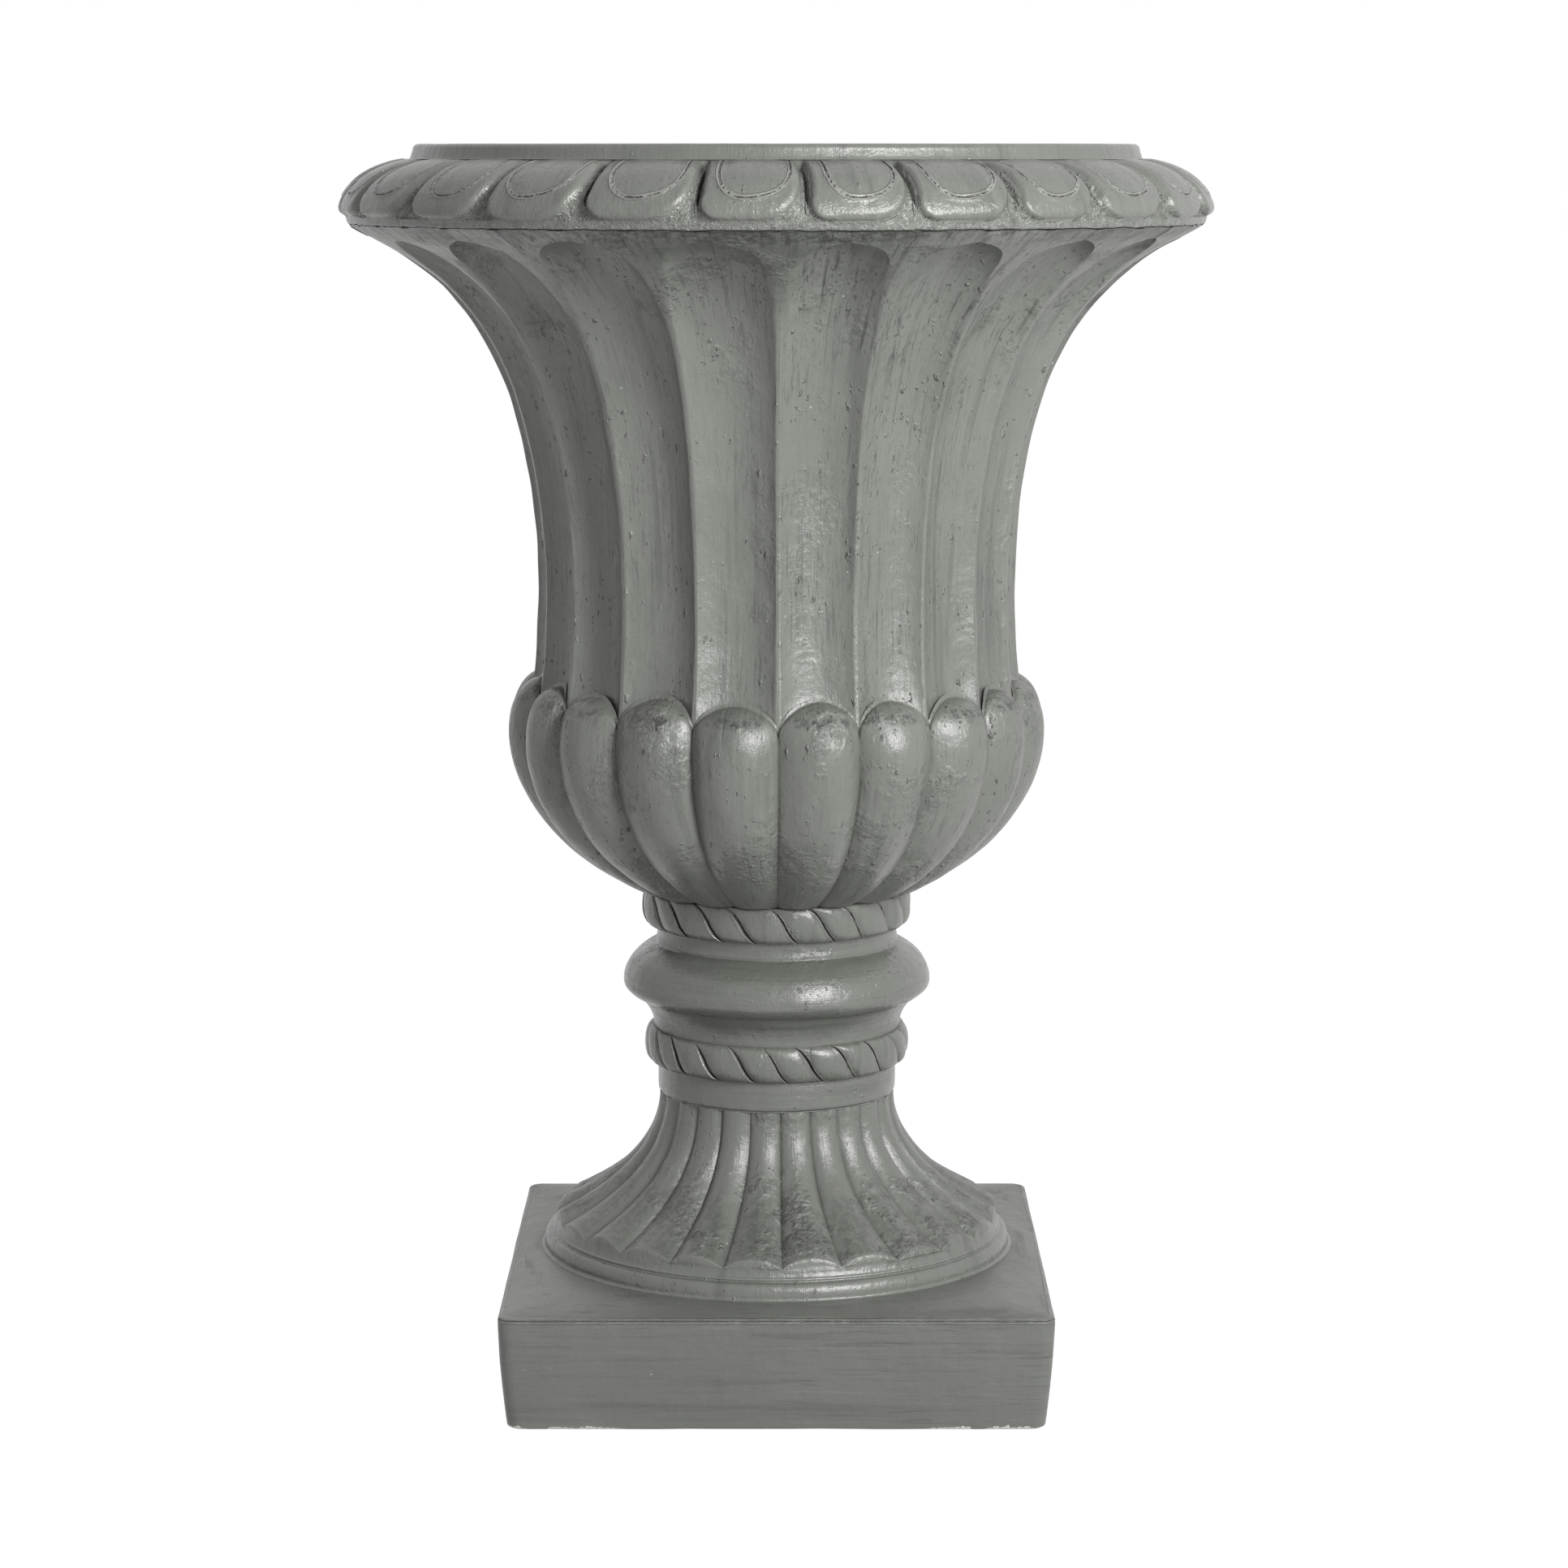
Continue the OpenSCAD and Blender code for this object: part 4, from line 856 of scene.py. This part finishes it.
class Material(Nodes):
    """A new material, with the colour and the relief that its layers build up."""

    def __init__(self, name, colour):
        self.material = bpy.data.materials.new(name)
        self.material.use_nodes = True
        super().__init__(self.material.node_tree)
        self.place = self.add("ShaderNodeTexCoord").outputs["Object"]
        self.colour = colour
        self.normal = None

    def set_shader(self, name, value):
        self.put(self.tree.nodes["Principled BSDF"].inputs[name], value)

    def value(self, name, output="Fac"):
        return self.add("ShaderNodeAttribute", attribute_name=name).outputs[output]

    def scaled(self, vector, scale_z):
        return self.add("ShaderNodeMapping", {"Vector": vector, "Scale": (1.0, 1.0, scale_z)}).outputs[0]

    def noise(self, vector, scale, detail=3.0, rough=0.55, distortion=0.0):
        inputs = {"Vector": vector, "Scale": scale, "Detail": detail, "Roughness": rough}
        return self.add("ShaderNodeTexNoise", {**inputs, "Distortion": distortion}).outputs[0]

    def spots(self, scale, detail=3.0, rough=0.55, distortion=0.0):
        return self.noise(self.place, scale, detail, rough, distortion)

    def stretch(self, value, low, high, to_low=0.0, to_high=1.0):
        """The value, taken smoothly out of the range low to high into the range to_low to to_high."""
        inputs = {"Value": value, "From Min": low, "From Max": high, "To Min": to_low, "To Max": to_high}
        return self.add("ShaderNodeMapRange", inputs, interpolation_type="SMOOTHSTEP").outputs[0]

    def dots(self, vector, scale, channel, rate, low, high):
        """Round dots in the share of the cells over the rate: 0 from radius low on, 1 within high."""
        cells = self.add("ShaderNodeTexVoronoi", {"Vector": vector, "Scale": scale, "Randomness": 1.0})
        chance = self.add("ShaderNodeSeparateColor", {"Color": cells.outputs["Color"]}).outputs[channel]
        chosen = self.math("GREATER_THAN", chance, rate)
        return self.times(self.stretch(cells.outputs["Distance"], low, high), chosen)

    def cover(self, colour, share):
        """Covers a share of the colour so far with another."""
        node = self.add("ShaderNodeMix", data_type="RGBA")
        self.put(node.inputs["Factor"], share)
        self.put(node.inputs["A"], self.colour)
        self.put(node.inputs["B"], colour)
        self.colour = node.outputs["Result"]

    def emboss(self, height, distance, strength=1.0):
        """Adds to the relief so far; a height of 1 stands up by the distance."""
        inputs = {"Height": height, "Distance": distance, "Strength": strength}
        if self.normal is not None:
            inputs["Normal"] = self.normal
        self.normal = self.add("ShaderNodeBump", inputs).outputs[0]


def casting_paint(name, stroke_scale=300.0, shade=1.0, grit=0.5, scuff=1.0, glint=0.0, crease_dark=0.4,
                  beads=1.0, gloss=0.0, ground=0.3, chips=False):
    """Brushed grey-green paint over a hand-cast surface, darker in its flaws and creases.

    shade is the lightness; below 1 it darkens the whole paint as painted shade, most on the lower pieces.
    chips breaks the paint off at the plinth's bottom edge. The other settings say how much there is: grit of
    cast flaws, ground of flaws where nothing is worn, scuff of dark strokes, glint of pale crumpled ground
    that is partly a painted highlight, crease_dark of dark in the creases that is partly antique finish and
    partly painted shade, beads on the surface, gloss of sheen.
    """
    n = Material(name, PAINT)
    n.worn = n.value("worn")
    brush = n.value("brush", "Vector")
    n.streak = n.noise(brush, stroke_scale, 6.0, 0.72)
    n.streak_soft = n.noise(brush, stroke_scale * 0.3, 3.0, 0.6)
    n.dash = n.noise(n.scaled(brush, 2.0), stroke_scale * 3.0, 3.0, 0.7)
    n.dark_stroke = n.stretch(n.streak, 0.47, 0.36)
    # Clusters of cast flaws: rough relief with the wash left in its low places
    n.flaw = n.spots(310.0, 4.0, 0.7, 0.6)
    cluster = n.stretch(n.spots(24.0, 4.0, 0.65), 0.60 - 0.12 * grit, 0.74 - 0.12 * grit)
    share = n.times_plus(n.worn, 0.6 + 0.4 * grit, ground)
    n.cluster = n.times(cluster, share, clamp=True)
    # Incised lines: a groove and a lip on both sides, which waver about the exact line
    away = n.math("SUBTRACT", n.value("line"), 0.7)
    apart = n.math("ABSOLUTE", n.times_plus(n.spots(240.0), 1.3, away))
    n.groove = n.stretch(apart, 0.55, 0.10)
    n.lip = n.stretch(n.math("ABSOLUTE", n.math("SUBTRACT", apart, 1.2)), 0.9, 0.35)
    paint_strokes(n, scuff, glint)
    paint_creases_and_shade(n, crease_dark)
    paint_lines(n, glint)
    # A few pale nicks
    n.cover(BASE_WHITE, n.times(n.dots(n.place, 260.0, 1, 0.995, 0.22, 0.10), 0.6))
    # Painted shade: below 1, shade darkens the whole paint, most on the lower pieces
    n.cover(BLACK, 1 - shade)
    if chips:
        paint_chips(n)
    n.set_shader("Base Color", n.colour)
    set_sheen(n, glint, gloss)
    set_relief(n, glint, beads)
    return n.material


def paint_strokes(n, scuff, glint):
    """Mottled paint with soft, dark and pale strokes, and smudges where it is most worn."""
    n.cover(PAINT_LIGHT, n.stretch(n.spots(9.0), 0.35, 0.75, 0.0, 0.25))
    n.cover(PAINT_DARK, n.stretch(n.streak_soft, 0.46, 0.30, 0.0, 0.5))
    if glint:
        # Crumpled ground is paler than the raised work: partly pale paint, partly a painted highlight for
        # its glints
        pale = n.stretch(n.spots(170.0, 4.0, 0.65), 0.36, 0.62, 0.1, 0.75 * glint)
        n.cover(PAINT_LIGHT, n.times(n.worn, pale))
    patch = n.stretch(n.spots(13.0, 3.0, 0.6), 0.41, 0.62)
    patch = n.math("MAXIMUM", patch, n.times(n.worn, 0.45))
    scuffed = n.times(n.times_plus(n.worn, 0.80, 0.20), patch)
    scuffed = n.times(scuffed, scuff, clamp=True)
    n.cover(WASH_AND_SHADE, n.times(n.dark_stroke, n.times_plus(scuffed, 0.70, 0.07)))
    fine_stroke = n.stretch(n.dash, 0.43, 0.33)
    n.cover(WASH_AND_SHADE, n.times(fine_stroke, n.times_plus(scuffed, 0.80, 0.12)))
    smudge = n.stretch(n.spots(190.0, 4.0, 0.7), 0.42, 0.58, 0.0, 0.8 * min(scuff, 1.0))
    n.cover(WASH_AND_SHADE, n.times(smudge, n.stretch(n.worn, 0.72, 1.0)))
    n.cover(PAINT_LIGHT, n.stretch(n.streak, 0.57, 0.70, 0.0, 0.38))


def paint_creases_and_shade(n, crease_dark):
    """Antique finish in the flaws, creases darkened partly by it and partly as painted shade, painted shade
    in broad hollows, and paler ridges, partly drybrushed and partly a painted highlight.
    """
    low_place = n.times(n.stretch(n.flaw, 0.47, 0.36), n.cluster)
    n.cover(WASH_AND_SHADE, n.times(low_place, 0.8))
    # Painted shade: the broad hollows are darkened
    hollow = n.stretch(n.value("bend_broad"), 0.006, 0.07)
    n.cover(PAINT_DARK, n.times(hollow, 0.30))
    # The creases are darkened, partly as antique finish and partly as painted shade
    fine = n.value("bend_fine")
    uneven = n.stretch(n.spots(120.0), 0.35, 0.7, 0.0, crease_dark)
    n.cover(WASH_AND_SHADE, n.times(n.stretch(fine, 0.05, 0.30), uneven))
    # Ridges are paler, partly drybrushed paint and partly a painted highlight
    brushed = n.stretch(n.streak, 0.35, 0.65, 0.1, 0.6)
    n.cover(PAINT_LIGHT, n.times(n.stretch(fine, -0.04, -0.24), brushed))


def paint_lines(n, glint):
    """Incised lines have a dark bottom, partly painted shade, and pale lips, partly drybrushed paint and
    partly a painted highlight.
    """
    patchy = n.stretch(n.spots(90.0), 0.38, 0.62)
    # Pale lips: partly drybrushed paint, partly a painted highlight
    n.cover(DRY_PAINT_AND_HIGHLIGHT, n.times(n.lip, n.times_plus(patchy, 0.35, 0.10 + 0.28 * glint)))
    # Dark groove bottoms: partly finish, partly painted shade
    n.cover(WASH_AND_SHADE, n.times(n.groove, n.times_plus(patchy, -0.16, 0.24 - 0.08 * glint)))


def paint_chips(n):
    """The paint is chipped off along the bottom edge near the corners."""
    split = n.add("ShaderNodeSeparateXYZ", {"Vector": n.place}).outputs
    near_corner = n.stretch(n.math("ABSOLUTE", split["X"]), 0.070, 0.125)
    near_corner = n.times(near_corner, n.stretch(n.spots(30.0, 2.0), 0.40, 0.52))
    ragged = n.times_plus(n.spots(300.0), 0.0065, -0.0010)
    reach = n.times_plus(ragged, near_corner, PLINTH_Z0 * MM)
    n.cover(BASE_WHITE, n.times(n.math("LESS_THAN", split["Z"], reach), 0.9))


def set_sheen(n, glint, gloss):
    """Duller in the dark strokes, and where it is worn duller too, or shinier with glint."""
    rough = n.times_plus(n.spots(60.0), 0.16, 0.21 - gloss)
    rough = n.times_plus(n.dark_stroke, 0.10, rough)
    n.set_shader("Roughness", n.times_plus(n.worn, 0.10 - 0.16 * glint, rough))
    n.set_shader("IOR", 1.5)
    n.set_shader("Specular IOR Level", 0.75)


def set_relief(n, glint, beads):
    """Lumps under the paint, brush strokes, flaws, beads, incised lines and fine grain."""
    n.emboss(n.spots(55.0, 2.0, 0.5), 0.0010, 0.8)
    n.emboss(n.spots(190.0, 3.0, 0.6), 0.00042, 0.9)
    n.emboss(n.streak, 0.00034, 0.9)
    n.emboss(n.dash, 0.00012, 0.9)
    crumple = n.times(n.times(n.spots(260.0, 3.0, 0.6, 1.2), n.worn), glint)
    n.emboss(n.math("ADD", n.times(n.flaw, n.cluster), crumple), 0.0024)
    if beads:
        emboss_beads(n, beads)
    n.emboss(n.math("SUBTRACT", n.lip, n.times(n.groove, 1.2)), 0.0006)
    n.emboss(n.spots(900.0, 2.0, 0.6), 0.00010, 0.7)
    n.set_shader("Normal", n.normal)


def emboss_beads(n, beads):
    """Small raised bubbles and drips of odd shapes, in clusters."""
    odd = n.add("ShaderNodeTexNoise", {"Vector": n.place, "Scale": 380.0, "Detail": 2.0})
    bent = {0: odd.outputs["Color"], 1: (0.0035, 0.0035, 0.0035), 2: n.scaled(n.place, 0.5)}
    bent = n.add("ShaderNodeVectorMath", bent, operation="MULTIPLY_ADD").outputs[0]
    crowd = n.stretch(n.spots(32.0, 2.0), 0.44, 0.62, 0.12 * beads, beads)
    for scale, rate, height in ((420.0, 0.86, 0.0010), (240.0, 0.92, 0.0015)):
        n.emboss(n.times(n.dots(bent, scale, 0, rate, 0.42, 0.05), crowd), height)


def plain_detail(name, colour, dark, roughness, metallic, scale, depth):
    """Material for the small hidden pieces: mottled colour, varied sheen and fine relief."""
    n = Material(name, colour)
    mottle = n.spots(scale, 4.0, 0.6)
    n.cover(dark, n.stretch(mottle, 0.35, 0.7))
    n.set_shader("Base Color", n.colour)
    sheen = n.stretch(n.spots(scale * 0.4), 0.3, 0.7, roughness - 0.08, roughness + 0.08)
    n.set_shader("Roughness", sheen)
    n.set_shader("Metallic", metallic)
    n.emboss(mottle, depth, 0.8)
    n.set_shader("Normal", n.normal)
    return n.material


# Pieces

def add_piece(piece, material, *nodes):
    """Paints a piece of the urn's body, and lets it stand in for the CAD nodes that are named."""
    piece.data.materials.append(material)
    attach(piece, "urn")
    if nodes:
        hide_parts(*nodes)


def dress(material, *nodes):
    """Gives CAD nodes that stay as they are a material."""
    for node in nodes:
        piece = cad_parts[node]
        piece.data.materials.clear()
        piece.data.materials.append(material)


# shade below 1 is painted shade on the lower pieces, the plinth most; the crease setting darkens creases,
# partly as painted shade
body_paint = casting_paint("casting_paint", grit=0.45, scuff=1.9, crease_dark=0.35, ground=0.22)
bowl_paint = casting_paint("bowl_paint", shade=0.98, grit=0.8, crease_dark=0.1, beads=1.2, ground=0.35)
rim_paint = casting_paint("rim_paint", 260.0, shade=0.98, grit=0.0, scuff=0.2, glint=1.0, crease_dark=0.2,
                          beads=0.4, ground=0.15)
foot_paint = casting_paint("foot_paint", shade=0.92, grit=1.0, scuff=0.45, crease_dark=0.15, beads=0.6, ground=0.1)
stem_paint = casting_paint("stem_paint", 240.0, shade=0.88, grit=0.2, scuff=0.6, crease_dark=0.2, beads=0.5,
                           gloss=0.04, ground=0.15)
plinth_paint = casting_paint("plinth_paint", 260.0, shade=0.80, grit=0.0, beads=0.0, gloss=-0.12,
                             ground=0.1, chips=True)

add_piece(plinth_piece(), plinth_paint, "plinth")
add_piece(foot_piece(), foot_paint, "foot")
add_piece(stem_piece(), stem_paint, "stem")
lower_rope = rope_piece("lower_rope_moulding", strands=22, radius=86.3, top_r=82.0,
                        z0=ROPE_LOW_Z0, z1=ROPE_LOW_Z1, phase=0.04, seed=81)
add_piece(lower_rope, stem_paint, "lower_rope")
upper_rope = rope_piece("upper_rope_moulding", strands=21, radius=87.3, top_r=85.5,
                        z0=ROPE_UP_Z0, z1=ROPE_UP_Z1 + 0.8, phase=0.16, seed=91)
add_piece(upper_rope, stem_paint, "upper_rope")
add_piece(bell_piece(), body_paint, "bell")
add_piece(bowl_piece(), bowl_paint, "bowl")
add_piece(bowl_floor_piece(), bowl_paint)
add_piece(rim_piece(), rim_paint, "rim")

BEDDING, BEDDING_DARK = (0.125, 0.130, 0.117, 1), (0.070, 0.073, 0.066, 1)
STEEL, STEEL_DARK = (0.56, 0.57, 0.58, 1), (0.40, 0.41, 0.42, 1)
RUBBER, RUBBER_DARK = (0.03, 0.03, 0.03, 1), (0.018, 0.018, 0.018, 1)
PLASTIC, PLASTIC_DARK = (0.05, 0.055, 0.05, 1), (0.035, 0.038, 0.035, 1)
bedding = plain_detail("bedding_compound", BEDDING, BEDDING_DARK, 0.7, 0.0, 500.0, 0.0003)
steel = plain_detail("plated_steel", STEEL, STEEL_DARK, 0.38, 1.0, 900.0, 0.00004)
rubber = plain_detail("black_rubber", RUBBER, RUBBER_DARK, 0.75, 0.0, 700.0, 0.00008)
plastic = plain_detail("drain_plastic", PLASTIC, PLASTIC_DARK, 0.5, 0.0, 600.0, 0.00005)

dress(bedding, "foot_bed", "stem_bed", "bowl_bed", "bell_bed", "rim_bed")
dress(steel, "tie_rod", "top_nut", "top_washer", "clamp_bar", "bottom_washer", "lock_washer", "bottom_nut")
dress(rubber, "sealing_washer", "drain_plug", "front_left_pad", "front_right_pad", "rear_left_pad",
      "rear_right_pad")
dress(plastic, "drain_sleeve")


# Stage, lights and camera

WHITE = (1, 1, 1, 1)
FLOOR_GREY = (0.62, 0.62, 0.62, 1)
FLOOR_SIZE = 60
AMBIENT, AMBIENT_STRENGTH = (1.0, 0.995, 1.0, 1), 0.13
LIGHT_DISTANCE = 2.2
SENSOR_WIDTH, LENS = 36.0, 95.63
CAMERA_PLACE = (0.00486, -2.7, 0.7977)
CAMERA_DOWN = 0.151


def white_for_camera(tree, lit, output, strength=1.0, keep=0.0):
    """White to the camera and in reflections; keep is the share of the lit surface that still shows."""
    n = Nodes(tree)
    path = n.add("ShaderNodeLightPath").outputs
    other = n.math("MAXIMUM", path["Is Glossy Ray"], path["Is Transmission Ray"])
    seen = n.math("MAXIMUM", path["Is Camera Ray"], other)
    for_world = output.bl_idname == "ShaderNodeOutputWorld"
    white = n.add("ShaderNodeBackground" if for_world else "ShaderNodeEmission", {0: WHITE, 1: strength})
    mixed = {0: n.times(seen, 1 - keep), 1: lit.outputs[0], 2: white.outputs[0]}
    n.put(output.inputs[0], n.add("ShaderNodeMixShader", mixed).outputs[0])


def make_floor():
    bpy.ops.mesh.primitive_plane_add(size=FLOOR_SIZE)
    floor = bpy.context.object
    floor.name = "studio_floor"
    material = bpy.data.materials.new("floor_pale")
    material.use_nodes = True
    tree = material.node_tree
    lit = tree.nodes["Principled BSDF"]
    lit.inputs["Base Color"].default_value = FLOOR_GREY
    lit.inputs["Roughness"].default_value = 0.9
    white_for_camera(tree, lit, tree.nodes["Material Output"], strength=1.12, keep=0.12)
    floor.data.materials.append(material)


def make_world():
    world = bpy.data.worlds.new("studio")
    bpy.context.scene.world = world
    world.use_nodes = True
    tree = world.node_tree
    ambient = tree.nodes["Background"]
    ambient.inputs[0].default_value = AMBIENT
    ambient.inputs[1].default_value = AMBIENT_STRENGTH
    white_for_camera(tree, ambient, tree.nodes["World Output"])


def area_light(name, azimuth, elevation, target_z, size, energy, glossy=True):
    """A rectangular soft lamp aimed at the axis; azimuth 0 is the camera's side, positive to the right."""
    a, e = math.radians(azimuth), math.radians(elevation)
    data = bpy.data.lights.new(name, "AREA")
    data.shape = "RECTANGLE"
    data.size, data.size_y = size
    data.energy = energy
    lamp = bpy.data.objects.new(name, data)
    lamp.visible_glossy = glossy
    bpy.context.scene.collection.objects.link(lamp)
    flat, up = LIGHT_DISTANCE * math.cos(e), LIGHT_DISTANCE * math.sin(e)
    lamp.location = (flat * math.sin(a), -flat * math.cos(a), target_z + up)
    lamp.rotation_euler = (math.pi / 2 - e, 0, a)


def make_camera():
    data = bpy.data.cameras.new("photo_camera")
    data.sensor_width = SENSOR_WIDTH
    data.lens = LENS
    camera = bpy.data.objects.new("photo_camera", data)
    bpy.context.scene.collection.objects.link(camera)
    camera.location = CAMERA_PLACE
    camera.rotation_euler = (math.pi / 2 - CAMERA_DOWN, 0, 0)
    bpy.context.scene.camera = camera


make_floor()
make_world()
area_light("key", azimuth=32, elevation=20, target_z=0.50, size=(0.55, 1.0), energy=46)
# A weak light behind shows the back, and hardly reaches the front
area_light("back", azimuth=195, elevation=8, target_z=0.45, size=(1.0, 1.2), energy=16, glossy=False)
make_camera()
bpy.context.scene.view_settings.view_transform = "Standard"
